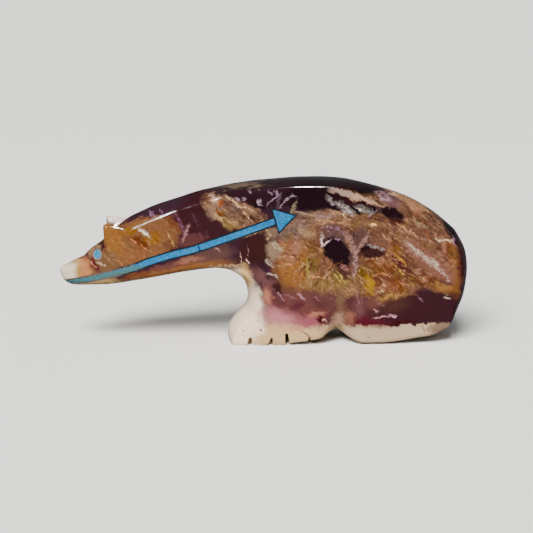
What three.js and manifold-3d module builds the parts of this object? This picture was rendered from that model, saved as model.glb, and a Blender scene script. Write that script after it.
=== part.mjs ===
// A bear fetish carved from one piece of banded spiny oyster shell, with turquoise eyes and an
// inlaid turquoise heartline arrow that runs from the mouth to the shoulder on each flank.
// Millimetres, +Z up. The head points to -X, the left flank is -Y, and the soles stand on Z = 0.
import * as THREE from "three";
import { mergeVertices } from "three/addons/utils/BufferGeometryUtils.js";
import Module from "manifold-3d";

// Driving sizes
const bodyLength = 76;
const bodyHeight = 30.1;
const bodyThickness = 14.8;
const slipWidth = 1.15; // a heartline slip on the neck
const mouthSlipWidth = 0.85; // the same slip at the mouth
const slipDepth = 1.2;
const arrowDepth = 1.5;
const eyeDepth = 1.1;
const glueGap = 0.15; // between an inlay and the walls of its channel
const arrowLength = 3.45;
const arrowWidth = 4.2;
const eyeWidth = 1.25;
const eyeHeight = 1.8;
const toeCutDepth = 4; // how far a toe cut runs in under the foot
const edgeSoftness = 0.7; // how far the polish has rounded the crest between top and flank
const bodyStep = 1.45; // the size of a facet along the body
const headStep = 0.95; // and along the head, where the forms are smaller
const skinMargin = 1; // how far the grid of the skin reaches past the carving
const soleClearance = 0.12; // no corner of the skin stays closer than this to the cut of the soles
const netStep = 0.4; // the nets that hold the measures of the side view
const netMargin = 3;

// The outline seen from the left: [share of the length from the nose, share of the height].
// Each stroke is one smooth curve, and the strokes meet at the carving's corners.
const outlineStrokes = {
  muzzle: [
    [0.027, 0.345],
    [0.008, 0.375],
    [-0.002, 0.441],
    [0.01, 0.47],
    [0.034, 0.502],
    [0.058, 0.53],
  ],
  forehead: [
    [0.058, 0.53],
    [0.075, 0.574],
    [0.106, 0.63],
    [0.136, 0.705],
    [0.172, 0.77],
  ],
  back: [
    [0.172, 0.77],
    [0.23, 0.836],
    [0.29, 0.885],
    [0.363, 0.938],
    [0.481, 0.982],
    [0.6, 1],
    [0.72, 0.983],
    [0.837, 0.9],
    [0.911, 0.801],
    [0.9695, 0.68],
  ],
  rump: [
    [0.9695, 0.68],
    [0.994, 0.566],
    [1.001, 0.44],
    [0.994, 0.29],
    [0.981, 0.2],
    [0.965, 0.12],
  ],
  hindBase: [
    [0.965, 0.12],
    [0.948, 0.075],
    [0.908, 0.03],
    [0.845, 0.006],
    [0.79, -0.008],
  ],
  hindToe: [
    [0.732, -0.008],
    [0.72, 0.008],
    [0.698, 0.04],
    [0.676, 0.078],
  ],
  archFront: [
    [0.676, 0.078],
    [0.655, 0.056],
    [0.637, 0.028],
    [0.603, 0.016],
    [0.568, 0.006],
    [0.555, -0.03],
  ],
  frontFoot: [
    [0.42, -0.03],
    [0.4115, 0.008],
    [0.41, 0.04],
    [0.412, 0.083],
    [0.423, 0.132],
  ],
  chest: [
    [0.423, 0.132],
    [0.437, 0.173],
    [0.453, 0.215],
    [0.46, 0.28],
    [0.453, 0.36],
    [0.437, 0.41],
    [0.413, 0.443],
    [0.382, 0.452],
  ],
  jaw: [
    [0.382, 0.452],
    [0.306, 0.428],
    [0.247, 0.4],
    [0.186, 0.373],
    [0.12, 0.348],
    [0.06, 0.342],
    [0.027, 0.345],
  ],
};
const strokeSteps = 6; // straight steps between two points of a stroke
const soleDrop = 0.05; // the outline runs at most this share of the height below the soles

// How wide the carving is seen from above: [share of the length, share of the thickness]
const planStations = [
  [-0.05, 0.52],
  [0.1, 0.585],
  [0.2, 0.655],
  [0.3, 0.76],
  [0.4, 0.905],
  [0.5, 0.98],
  [0.62, 1],
  [0.78, 0.995],
  [0.9, 0.94],
  [1.02, 0.86],
];
const planSteps = 80;

// The face narrows in one flat facet from a crease under the ear to the nose.
const faceCrease = 0.115; // where the crease crosses the eye's height, in shares of the length
const faceCreaseLean = 0.5; // how far it leans forward for each step up
const faceTaper = 0.27; // how much half the width loses for each step forward
const creaseSoftness = 0.5;

// The grid lines of the skin across the bear, in shares of half its width
const gridAcross = [-1.12, -0.97, -0.8, -0.55, -0.25, 0.0001, 0.25, 0.55, 0.8, 0.97, 1.12];

// How far the top, the rump, the chest and the jaw fall away from the middle to the flank:
// [share of the length, share of the height, fall in shares of the thickness]
const crownStations = [
  [0.03, 0.45, 0.05],
  [0.08, 0.6, 0.1],
  [0.1, 0.35, 0.055],
  [0.2, 0.8, 0.115],
  [0.25, 0.4, 0.06],
  [0.33, 0.91, 0.09],
  [0.45, 0.97, 0.038],
  [0.62, 1, 0.033],
  [0.84, 0.9, 0.075],
  [0.98, 0.62, 0.105],
  [0.99, 0.3, 0.105],
  [0.93, 0.06, 0.05],
  [0.77, -0.01, 0.035],
  [0.675, 0.08, 0.02],
  [0.55, -0.03, 0],
  [0.44, -0.03, 0.02],
  [0.415, 0.08, 0.11],
  [0.46, 0.28, 0.13],
  [0.4, 0.45, 0.07],
];
const crownBlend = 2; // how far round each station its own fall holds

// The ears are the two corners that stand up where the face is cut back.
const earFront = 0.1135; // at its root, share of the length
const earLean = 0.13; // how far the front face leans forward for each step up
const earTop = 0.748; // share of the height
const earRoot = 0.6; // where it grows out of the head, in shares of the height
const earFall = 0.23; // how the ear's top edge drops towards the neck
const earThickness = 0.075; // of its top edge, in shares of the thickness
const earRun = 0.08; // how far back it reaches, in shares of the length
const earFlare = 0.7; // how fast it thickens downwards
const earSoftness = 0.4;

// The scoop filed up from the arch between foot and haunch
const scoopAt = 0.682; // share of the length
const scoopDepth = 0.17; // at the arch, in shares of the thickness
const scoopFoot = 0.06; // share of the height below which it is deepest
const scoopTop = 0.34; // share of the height where it fades out
const scoopWidth = 0.0125; // at its top, in shares of the length
const scoopFlare = 1.2; // how much wider it is at the arch

// Toe cuts across the outer edge of the front foot: place and width as shares of the length,
// height as a share of the height, lean as a share of the cut's own height. The third runs right
// through the foot.
const toeCuts = [
  { at: 0.465, width: 0.0145, height: 0.052, lean: 0.08 },
  { at: 0.5125, width: 0.012, height: 0.048, lean: 0.3 },
  { at: 0.5585, width: 0.0125, height: 0.076, lean: -0.12, through: true },
  { at: 0.608, width: 0.0095, height: 0.058, lean: 0.1 },
];

// The middle of the heartline: [share of the length, share of the height]
const heartline = [
  [0.008, 0.362],
  [0.0645, 0.391],
  [0.118, 0.425],
  [0.189, 0.477],
  [0.226, 0.514],
  [0.287, 0.562],
  [0.345, 0.603],
  [0.531, 0.772],
];
const heartSteps = 140;
const seamAt = 0.345; // where the front slip meets the rear one, in shares of the length
const arrowTurn = -4.5; // degrees, from the slip's own direction
const eyePlace = [0.0975, 0.549];
const eyeSides = 18;
const neckStart = 0.19; // share of the length

// Colours
const shellColour = 0x8a5a3c;
const turquoiseColour = 0x3f9ac2;

const wasm = await Module();
wasm.setup();

const halfThickness = bodyThickness / 2;
const place = ([along, up]) =>
  new THREE.Vector2((along - 0.5) * bodyLength, up * bodyHeight);
const noseX = -bodyLength / 2;
const shareOfLength = (x) => (x - noseX) / bodyLength;

// The larger of two values, with the corner between them rounded over the given width
function softMax(a, b, width) {
  const meet = Math.max(width - Math.abs(a - b), 0) / width;
  return Math.max(a, b) + (meet * meet * width) / 4;
}

function softMin(a, b, width) {
  return -softMax(-a, -b, width);
}

// Outline

function drawOutline() {
  const corners = [];
  for (const stroke of Object.values(outlineStrokes)) {
    const curve = new THREE.SplineCurve(stroke.map(place));
    corners.push(...curve.getPoints(strokeSteps * (stroke.length - 1)));
  }
  return corners.filter(
    (p, i) => p.distanceTo(corners[(i + 1) % corners.length]) > 1e-6,
  );
}

const outline = drawOutline();

// A function of the side view, worked out once on a fine net and read between its knots
function tabled(measure) {
  const low = { x: noseX - netMargin, z: -netMargin };
  const columns = Math.ceil((bodyLength + 2 * netMargin) / netStep) + 2;
  const rows = Math.ceil((bodyHeight + 2 * netMargin) / netStep) + 2;
  const lastColumn = columns - 1.001;
  const lastRow = rows - 1.001;
  const knots = new Float64Array(columns * rows);
  for (let i = 0; i < columns; i++)
    for (let k = 0; k < rows; k++)
      knots[i * rows + k] = measure(low.x + i * netStep, low.z + k * netStep);
  return (x, z) => {
    const u = THREE.MathUtils.clamp((x - low.x) / netStep, 0, lastColumn);
    const v = THREE.MathUtils.clamp((z - low.z) / netStep, 0, lastRow);
    const i = Math.floor(u);
    const k = Math.floor(v);
    const here = i * rows + k;
    const next = here + rows;
    const near = THREE.MathUtils.lerp(knots[here], knots[here + 1], v - k);
    const far = THREE.MathUtils.lerp(knots[next], knots[next + 1], v - k);
    return THREE.MathUtils.lerp(near, far, u - i);
  };
}

// Distance from a point of the side view to the outline, negative inside it
const outlineDistance = tabled((x, z) => {
  let nearest = Infinity;
  let inside = false;
  let a = outline[outline.length - 1];
  for (const b of outline) {
    const ex = b.x - a.x;
    const ez = b.y - a.y;
    const share = ((x - a.x) * ex + (z - a.y) * ez) / (ex * ex + ez * ez);
    const t = Math.min(Math.max(share, 0), 1);
    const dx = x - a.x - t * ex;
    const dz = z - a.y - t * ez;
    nearest = Math.min(nearest, dx * dx + dz * dz);
    if (a.y > z !== b.y > z && x < a.x + ((z - a.y) / ez) * ex) inside = !inside;
    a = b;
  }
  return (inside ? -1 : 1) * Math.sqrt(nearest);
});

// Width

const planCurve = new THREE.SplineCurve(
  planStations.map(([along, wide]) => new THREE.Vector2(along, wide)),
);
const planPoints = planCurve.getPoints(planSteps);

function planHalfWidth(x) {
  const along = shareOfLength(x);
  const after = planPoints.findIndex((p) => p.x > along);
  if (after < 0) return planPoints.at(-1).y * halfThickness;
  if (after === 0) return planPoints[0].y * halfThickness;
  const a = planPoints[after - 1];
  const b = planPoints[after];
  return THREE.MathUtils.mapLinear(along, a.x, b.x, a.y, b.y) * halfThickness;
}

function scoopAtPoint(x, z) {
  const foot = scoopFoot * bodyHeight;
  const rise = 1 - THREE.MathUtils.smoothstep(z, foot, scoopTop * bodyHeight);
  const width = scoopWidth * bodyLength * (1 + scoopFlare * rise);
  const off = (x - place([scoopAt, 0]).x) / width;
  return scoopDepth * bodyThickness * rise * rise * Math.exp(-off * off);
}

// Half the width of the carving at a point of the side view
const flankHalfWidth = tabled((x, z) => {
  const eyeHeightLine = place(eyePlace).y;
  const crease = place([faceCrease, 0]).x - faceCreaseLean * (z - eyeHeightLine);
  const face = planHalfWidth(crease) - faceTaper * (crease - x);
  return softMin(planHalfWidth(x), face, creaseSoftness) - scoopAtPoint(x, z);
});

// How far the edge falls away near a point of the side view: a blend of the nearest stations
const crownFall = tabled((x, z) => {
  let sum = 0;
  let weights = 0;
  for (const [along, up, fall] of crownStations) {
    const p = place([along, up]);
    const gap = (x - p.x) ** 2 + (z - p.y) ** 2;
    const weight = 1 / (gap + crownBlend ** 2) ** 2;
    sum += weight * fall;
    weights += weight;
  }
  return (sum / weights) * bodyThickness;
});

// Carving: negative inside the bear

function earField(x, y, z, half) {
  const root = earRoot * bodyHeight - z;
  const front = place([earFront, 0]).x + earLean * root - x;
  const back = x - place([earFront + earRun, 0]).x;
  const top = z - earTop * bodyHeight - earFall * front;
  const inner =
    half - earThickness * bodyThickness + earFlare * top - Math.abs(y);
  return Math.max(front, back, top, inner, root, Math.abs(y) - half);
}

function bearField(x, y, z) {
  const half = flankHalfWidth(x, z);
  const across = Math.abs(y) / half;
  const edge = outlineDistance(x, z) + crownFall(x, z) * across * across;
  const body = softMax(edge, Math.abs(y) - half, edgeSoftness);
  return softMin(body, earField(x, y, z, half), earSoftness);
}

// Moves a point onto the carving's surface, and below the cut of the soles if it is close to it
function settle(point) {
  const turns = 4;
  const nudge = 0.02;
  const leastSlope = 0.25;
  const longestStep = 0.5;
  for (let turn = 0; turn < turns; turn++) {
    const { x, y, z } = point;
    const slope = new THREE.Vector3(
      bearField(x + nudge, y, z) - bearField(x - nudge, y, z),
      bearField(x, y + nudge, z) - bearField(x, y - nudge, z),
      bearField(x, y, z + nudge) - bearField(x, y, z - nudge),
    ).divideScalar(2 * nudge);
    const step = -bearField(x, y, z) / Math.max(slope.lengthSq(), leastSlope);
    point.addScaledVector(slope, THREE.MathUtils.clamp(step, -longestStep, longestStep));
  }
  if (Math.abs(point.z) < soleClearance) point.z = -soleClearance;
  return point;
}

// Skin: one corner in each grid cell that the surface crosses, joined across the grid's edges

function evenSteps(low, high, step) {
  const count = Math.ceil((high - low) / step);
  return Array.from({ length: count }, (_, i) => low + ((high - low) * i) / count);
}

function skinGeometry() {
  const neckX = place([neckStart, 0]).x;
  const xs = [
    ...evenSteps(noseX - skinMargin, neckX, headStep),
    ...evenSteps(neckX, -noseX + 2 * skinMargin, bodyStep),
  ];
  const lowest = -soleDrop * bodyHeight - skinMargin;
  const zs = evenSteps(lowest, bodyHeight + 2 * skinMargin, bodyStep);
  const widthAt = xs.map((x) => {
    const within = zs.filter((z) => outlineDistance(x, z) < skinMargin);
    return Math.max(skinMargin, ...within.map((z) => flankHalfWidth(x, z)));
  });
  const at = (i, j, k) => new THREE.Vector3(xs[i], gridAcross[j] * widthAt[i], zs[k]);
  const size = [xs.length, gridAcross.length, zs.length];
  const index = (i, j, k) => (i * size[1] + j) * size[2] + k;
  const values = new Float64Array(size[0] * size[1] * size[2]);
  const eachCell = (extra, visit) => {
    for (let i = 0; i < size[0] - extra; i++)
      for (let j = 0; j < size[1] - extra; j++)
        for (let k = 0; k < size[2] - extra; k++) visit(i, j, k);
  };
  eachCell(0, (i, j, k) => {
    const p = at(i, j, k);
    values[index(i, j, k)] = bearField(p.x, p.y, p.z);
  });

  const corners = [];
  const cornerOf = new Map();
  eachCell(1, (i, j, k) => {
    const sum = new THREE.Vector3();
    let crossings = 0;
    for (const axis of [0, 1, 2]) {
      for (const side of [0, 1, 2, 3]) {
        const from = [i, j, k];
        from[(axis + 1) % 3] += side & 1;
        from[(axis + 2) % 3] += side >> 1;
        const to = [...from];
        to[axis] += 1;
        const a = values[index(...from)];
        const b = values[index(...to)];
        if (a < 0 === b < 0) continue;
        sum.add(at(...from).lerp(at(...to), a / (a - b)));
        crossings += 1;
      }
    }
    if (!crossings) return;
    cornerOf.set(index(i, j, k), corners.length);
    corners.push(settle(sum.divideScalar(crossings)));
  });

  const faces = [];
  eachCell(1, (i, j, k) => {
    for (const axis of [0, 1, 2]) {
      const here = [i, j, k];
      const next = [...here];
      next[axis] += 1;
      const inside = values[index(...here)] < 0;
      if (inside === values[index(...next)] < 0) continue;
      const ring = [
        [0, 0],
        [1, 0],
        [1, 1],
        [0, 1],
      ].map(([u, v]) => {
        const cell = [...here];
        cell[(axis + 1) % 3] -= u;
        cell[(axis + 2) % 3] -= v;
        return cornerOf.get(index(...cell));
      });
      if (!inside) ring.reverse();
      const [a, b, c, d] = ring;
      const acrossAC = corners[a].distanceToSquared(corners[c]);
      const acrossBD = corners[b].distanceToSquared(corners[d]);
      if (acrossAC < acrossBD) faces.push(a, b, c, a, c, d);
      else faces.push(a, b, d, b, c, d);
    }
  });
  const geometry = new THREE.BufferGeometry().setFromPoints(corners);
  geometry.setIndex(faces);
  return geometry;
}

// Solids

function solid(geometry) {
  const weldDistance = 1e-4;
  const bare = geometry.clone();
  bare.deleteAttribute("normal");
  bare.deleteAttribute("uv");
  const merged = mergeVertices(bare, weldDistance);
  return new wasm.Manifold(
    new wasm.Mesh({
      numProp: 3,
      vertProperties: new Float32Array(merged.attributes.position.array),
      triVerts: new Uint32Array(merged.index.array),
    }),
  );
}

function geometryOf(shape) {
  const { vertProperties, triVerts } = shape.getMesh();
  const geometry = new THREE.BufferGeometry();
  geometry.setAttribute("position", new THREE.BufferAttribute(vertProperties, 3));
  geometry.setIndex(new THREE.BufferAttribute(triVerts, 1));
  geometry.computeVertexNormals();
  return geometry;
}

// An outline of the side view, moved outwards by a distance
function grown(points, distance) {
  return points.map((p, i) => {
    const before = points.at(i - 1);
    const after = points[(i + 1) % points.length];
    const a = p.clone().sub(before).normalize();
    const b = after.clone().sub(p).normalize();
    const out = new THREE.Vector2(a.y + b.y, -a.x - b.x);
    const reach = 1 + a.dot(b);
    return p.clone().addScaledVector(out, distance / reach);
  });
}

// A plug through the flank: its outline is drawn counter-clockwise in the side view, its inner
// face follows the flank at the given depth, and its outer face stands clear of the carving.
function flankPlug(points, side, depth) {
  const proud = slipDepth + glueGap;
  const count = points.length;
  const corners = [];
  for (const reach of [proud, -depth])
    for (const p of points)
      corners.push(
        new THREE.Vector3(p.x, side * (flankHalfWidth(p.x, p.y) + reach), p.y),
      );
  const faces = [];
  for (const [a, b, c] of THREE.ShapeUtils.triangulateShape(points, []))
    faces.push([a, b, c], [count + a, count + c, count + b]);
  for (let i = 0; i < count; i++) {
    const next = (i + 1) % count;
    faces.push([i, count + i, count + next], [i, count + next, next]);
  }
  const geometry = new THREE.BufferGeometry().setFromPoints(corners);
  geometry.setIndex(faces.flatMap((f) => (side < 0 ? f : f.toReversed())));
  return solid(geometry);
}

// Heartline

const heartCurve = new THREE.SplineCurve(heartline.map(place));
const heartPoints = heartCurve.getPoints(heartSteps);
const heartEnd = heartPoints.at(-1);
const heartDirection = heartCurve.getTangent(1);

// The heartline's middle at a place along the bear
function pointAt(x) {
  const after = heartPoints.findIndex((p) => p.x >= x);
  const last = after < 1 ? heartPoints.length - 1 : after;
  const b = heartPoints[last];
  const a = heartPoints[last - 1];
  return a.clone().lerp(b, (x - a.x) / (b.x - a.x));
}

// The outline of a slip of the heartline between two places along the bear
function slipOutline(fromX, toX) {
  const stride = 5; // every fifth point is enough for its slow curve
  const endRoom = 2 * glueGap;
  const straightFrom = place([neckStart, 0]).x;
  const middle = heartPoints.filter((p) => p.x > fromX + endRoom && p.x < toX - endRoom);
  const thinned = middle.filter((p, i) => i % stride === 0);
  const stations = [pointAt(fromX), ...thinned, pointAt(toX)];
  const upper = [];
  const lower = [];
  stations.forEach((p, i) => {
    const before = stations[Math.max(i - 1, 0)];
    const after = stations[Math.min(i + 1, stations.length - 1)];
    const across = after.clone().sub(before).normalize();
    const wide = THREE.MathUtils.mapLinear(
      Math.min(p.x, straightFrom),
      noseX,
      straightFrom,
      mouthSlipWidth,
      slipWidth,
    );
    across.set(-across.y, across.x).multiplyScalar(wide / 2);
    upper.push(p.clone().add(across));
    lower.push(p.clone().sub(across));
  });
  return [...lower, ...upper.reverse()];
}

function arrowOutline() {
  const turn = THREE.MathUtils.degToRad(arrowTurn);
  const along = heartDirection.clone().rotateAround(new THREE.Vector2(), turn);
  const across = new THREE.Vector2(-along.y, along.x);
  const half = arrowWidth / 2;
  return [
    heartEnd.clone().addScaledVector(across, -half),
    heartEnd.clone().addScaledVector(along, arrowLength),
    heartEnd.clone().addScaledVector(across, half),
  ];
}

function eyeOutline() {
  const centre = place(eyePlace);
  return Array.from({ length: eyeSides }, (_, i) => {
    const turn = (2 * Math.PI * i) / eyeSides;
    return new THREE.Vector2(
      centre.x + (eyeWidth / 2) * Math.cos(turn),
      centre.y + (eyeHeight / 2) * Math.sin(turn),
    );
  });
}

const seamX = place([seamAt, 0]).x;
const slipStart = heartPoints[0].x;
const slipEnd = heartEnd.x - glueGap;
const wholeSlip = slipOutline(slipStart, slipEnd);

// One channel for each eye, slip and arrowhead, on both flanks
const channels = [
  { outline: wholeSlip, depth: slipDepth },
  { outline: arrowOutline(), depth: arrowDepth },
  { outline: eyeOutline(), depth: eyeDepth },
];

// What fills them. The left slip is two lengths of turquoise with a seam between them.
const inlays = [
  { name: "eye", sides: ["left", "right"], outline: eyeOutline(), depth: eyeDepth },
  {
    name: "heartline_arrowhead",
    sides: ["left", "right"],
    outline: arrowOutline(),
    depth: arrowDepth,
  },
  {
    name: "heartline_front_slip",
    sides: ["left"],
    outline: slipOutline(slipStart, seamX - glueGap / 2),
    depth: slipDepth,
  },
  {
    name: "heartline_rear_slip",
    sides: ["left"],
    outline: slipOutline(seamX + glueGap / 2, slipEnd),
    depth: slipDepth,
  },
  { name: "heartline_slip", sides: ["right"], outline: wholeSlip, depth: slipDepth },
];
const sideSign = { left: -1, right: 1 };

// Toe cuts

function toeCutter(cut, side) {
  const wide = cut.width * bodyLength;
  const tall = cut.height * bodyHeight;
  const below = 0.4 * tall;
  const mouth = 0.6 * wide; // half the cut's width under the foot
  const round = 0.3 * wide; // and the radius of its top
  const proud = 1; // how far the cutter stands out of the flank
  const topX = cut.lean * tall;
  const shape = new THREE.Shape();
  shape.moveTo(-mouth, -below);
  shape.lineTo(mouth, -below);
  shape.lineTo(topX + round, tall - round);
  shape.absarc(topX, tall - round, round, 0, Math.PI);
  shape.closePath();
  const reach = cut.through ? halfThickness + wide : toeCutDepth;
  const geometry = new THREE.ExtrudeGeometry(shape, {
    depth: reach + proud,
    bevelEnabled: false,
    curveSegments: 5,
  });
  geometry.rotateX(Math.PI / 2);
  const outer = side < 0 ? reach - halfThickness : halfThickness + proud;
  geometry.translate(place([cut.at, 0]).x, outer, 0);
  return solid(geometry);
}

// Assembly

const skin = solid(skinGeometry());
const groundBox = new THREE.BoxGeometry(2 * bodyLength, 2 * bodyLength, bodyHeight);
groundBox.translate(0, 0, -bodyHeight / 2);
const uncut = skin.subtract(solid(groundBox));

let carving = uncut;
for (const cut of toeCuts)
  for (const side of [-1, 1]) carving = carving.subtract(toeCutter(cut, side));
for (const channel of channels)
  for (const side of [-1, 1]) {
    const pocket = grown(channel.outline, glueGap);
    carving = carving.subtract(flankPlug(pocket, side, channel.depth + glueGap));
  }

const shell = new THREE.MeshStandardMaterial({
  color: shellColour,
  roughness: 0.15,
  metalness: 0,
});
const turquoise = new THREE.MeshStandardMaterial({
  color: turquoiseColour,
  roughness: 0.3,
  metalness: 0,
});

function named(name, shape, material) {
  const mesh = new THREE.Mesh(geometryOf(shape), material.clone());
  mesh.name = name;
  return mesh;
}

const bear = new THREE.Group();
bear.add(named("shell_bear", carving, shell));
for (const { name, sides, outline: face, depth } of inlays)
  for (const side of sides) {
    const slab = flankPlug(face, sideSign[side], depth);
    bear.add(named(`${side}_${name}`, slab.intersect(uncut), turquoise));
  }

export default bear;
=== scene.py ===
import math

import bmesh
import bpy
import numpy as np
from mathutils import Matrix, Vector, noise


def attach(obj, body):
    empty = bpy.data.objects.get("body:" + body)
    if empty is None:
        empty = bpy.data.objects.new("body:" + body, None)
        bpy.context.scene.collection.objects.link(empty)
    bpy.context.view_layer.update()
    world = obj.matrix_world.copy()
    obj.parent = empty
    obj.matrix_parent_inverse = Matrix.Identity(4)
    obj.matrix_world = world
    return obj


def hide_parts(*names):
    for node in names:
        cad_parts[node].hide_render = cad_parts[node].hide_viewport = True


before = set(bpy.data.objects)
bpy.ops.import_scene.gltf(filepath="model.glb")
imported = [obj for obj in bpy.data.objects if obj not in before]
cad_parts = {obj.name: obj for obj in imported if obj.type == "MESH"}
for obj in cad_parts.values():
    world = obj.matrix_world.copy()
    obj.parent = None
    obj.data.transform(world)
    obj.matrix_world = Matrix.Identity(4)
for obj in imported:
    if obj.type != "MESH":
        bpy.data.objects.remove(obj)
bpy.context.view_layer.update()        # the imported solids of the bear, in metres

mm = 0.001


# Camera, at the angle the bear is seen from

view = {
    "target": (0.56, 0.0, 13.5),     # mm
    "eye": (0.0, -294.5, 66.9),
    "lens": 108,
    "roll": -0.4,                    # degrees
}


def aimAt(thing, eye, target, roll=0.0):
    look = (Vector(target) - Vector(eye)).to_track_quat("-Z", "Y")
    turned = look.to_matrix().to_4x4() @ Matrix.Rotation(math.radians(roll), 4, "Z")
    thing.matrix_world = Matrix.Translation(Vector(eye)) @ turned


def setCamera():
    lens = bpy.data.cameras.new("photo_camera")
    lens.lens = view["lens"]
    lens.sensor_width = 36
    lens.clip_start = 0.01
    lens.clip_end = 50
    camera = bpy.data.objects.new("photo_camera", lens)
    bpy.context.scene.collection.objects.link(camera)
    eye = Vector(view["eye"]) * mm
    target = Vector(view["target"]) * mm
    aimAt(camera, eye, target, view["roll"])
    bpy.context.scene.camera = camera


setCamera()
print("camera set")


# Node helpers

def paint(code):
    # a colour written as on a paint chip, as the linear colour the shader wants
    channels = [int(code[i:i + 2], 16) / 255 for i in (1, 3, 5)]
    linear = [c / 12.92 if c <= 0.04045 else ((c + 0.055) / 1.055) ** 2.4 for c in channels]
    return (*linear, 1.0)


# how much paint a channel needs for a colour as it shows under the lamps below: the power of e
# to a start and a share of the red, green and blue that show, less a little
tones = {
    "red": (-5.1, 5.1, -0.4, 0.6),
    "green": (-5.35, 0.1, 5.9, -0.45),
    "blue": (-5.15, 0.1, -1.7, 6.8),
    "less": 0.004,
}


def asSeen(code):
    shown = [int(code[i:i + 2], 16) / 255 for i in (1, 3, 5)]
    laid = []
    for channel in ("red", "green", "blue"):
        start, *shares = tones[channel]
        power = start + sum(share * part for share, part in zip(shares, shown))
        laid.append(min(max(math.exp(power) - tones["less"], 0.0005), 0.95))
    return (*laid, 1.0)


def node(tree, kind, inputs=None, **settings):
    made = tree.nodes.new("ShaderNode" + kind)
    for name, value in settings.items():
        setattr(made, name, value)
    for name, value in (inputs or {}).items():
        if isinstance(value, bpy.types.NodeSocket):
            tree.links.new(value, made.inputs[name])
        else:
            made.inputs[name].default_value = value
    return made


def newMaterial(name):
    material = bpy.data.materials.new(name)
    material.use_nodes = True
    tree = material.node_tree
    shader = tree.nodes["Principled BSDF"]
    return material, tree, shader


def mixColour(tree, factor, ground, top):
    return node(tree, "Mix", {0: factor, 6: ground, 7: top}, data_type="RGBA").outputs[2]


def ramp(tree, value, low, high, toLow=0.0, toHigh=1.0):
    made = node(
        tree,
        "MapRange",
        {0: value, 1: low, 2: high, 3: toLow, 4: toHigh},
        interpolation_type="SMOOTHSTEP",
    )
    return made.outputs[0]


def calc(tree, operation, a, b=0.0):
    return node(tree, "Math", {0: a, 1: b}, operation=operation).outputs[0]


def bumpFrom(tree, shader, relief, strength, depth):
    made = node(tree, "Bump", {"Strength": strength, "Distance": depth * mm, "Height": relief})
    tree.links.new(made.outputs[0], shader.inputs["Normal"])


# Studio

studio = {
    "floorColour": "#dad8d4",
    "floorHalf": 20.0,               # m
    "worldColour": "#e4e8f0",
    "lowGlow": (0.13, 0.03, 0.24),   # strength by the horizon, where it starts to dim and ends
    "highGlow": 0.07,
    # wide lamps: name, strength, spread in degrees, where it shines from
    "lamps": [
        ("wide_soft_lamp", 10.2, 35, (-0.3, -0.85, 0.85)),
        ("fill_lamp", 0.8, 150, (0.2, -0.5, 0.9)),
    ],
    # small bright lamps that only the polish shows: name, turn from the camera towards the
    # rump and height in degrees, width and height in mm, watts
    "sparkles": [
        ("back_sparkle", 6.5, 72, 16, 30, 5.5),
        ("neck_sparkle", -34, 27, 22, 16, 1.6),
        ("nape_sparkle", -50, 42, 18, 12, 0.4),
    ],
    "sparkleDistance": 420,          # mm
    "sparkleAim": (0, 0, 15),
}


def lightStudio():
    world = bpy.data.worlds.new("studio_world")
    world.use_nodes = True
    tree = world.node_tree
    background = tree.nodes["Background"]
    background.inputs["Color"].default_value = paint(studio["worldColour"])
    where = node(tree, "TexCoord").outputs["Generated"]
    rise = node(tree, "SeparateXYZ", {0: where}).outputs[2]
    glow, dimFrom, dimTo = studio["lowGlow"]
    strength = ramp(tree, rise, dimFrom, dimTo, glow, studio["highGlow"])
    tree.links.new(strength, background.inputs["Strength"])
    bpy.context.scene.world = world
    for name, strength, spread, shinesFrom in studio["lamps"]:
        lamp = bpy.data.lights.new(name, "SUN")
        lamp.energy = strength
        lamp.angle = math.radians(spread)
        holder = bpy.data.objects.new(name, lamp)
        bpy.context.scene.collection.objects.link(holder)
        aimAt(holder, Vector(shinesFrom), Vector((0, 0, 0)))
        holder.visible_glossy = False    # only the small lamps are mirrored in the polish
    for name, turn, rise, wide, tall, watts in studio["sparkles"]:
        sparkle = bpy.data.lights.new(name, "AREA")
        sparkle.shape = "RECTANGLE"
        sparkle.size = wide * mm
        sparkle.size_y = tall * mm
        sparkle.energy = watts
        holder = bpy.data.objects.new(name, sparkle)
        bpy.context.scene.collection.objects.link(holder)
        turn, rise = math.radians(turn), math.radians(rise)
        away = Vector((
            math.sin(turn) * math.cos(rise), -math.cos(turn) * math.cos(rise), math.sin(rise)
        ))
        aimAt(holder, away * studio["sparkleDistance"] * mm, Vector(studio["sparkleAim"]) * mm)
        holder.visible_diffuse = False


def layFloor():
    half = studio["floorHalf"]
    mesh = bpy.data.meshes.new("floor")
    corners = [(-half, -half, 0), (half, -half, 0), (half, half, 0), (-half, half, 0)]
    mesh.from_pydata(corners, [], [(0, 1, 2, 3)])
    floor = bpy.data.objects.new("floor", mesh)
    bpy.context.scene.collection.objects.link(floor)
    floor.visible_glossy = False         # a pale floor would veil the dark polished flank
    material, tree, shader = newMaterial("pale_floor")
    shader.inputs["Base Color"].default_value = paint(studio["floorColour"])
    shader.inputs["Roughness"].default_value = 0.8
    mesh.materials.append(material)


lightStudio()
layFloor()
print("studio lit")


# The bear's form. Places are [share of the length from the nose, share of the height].

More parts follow.
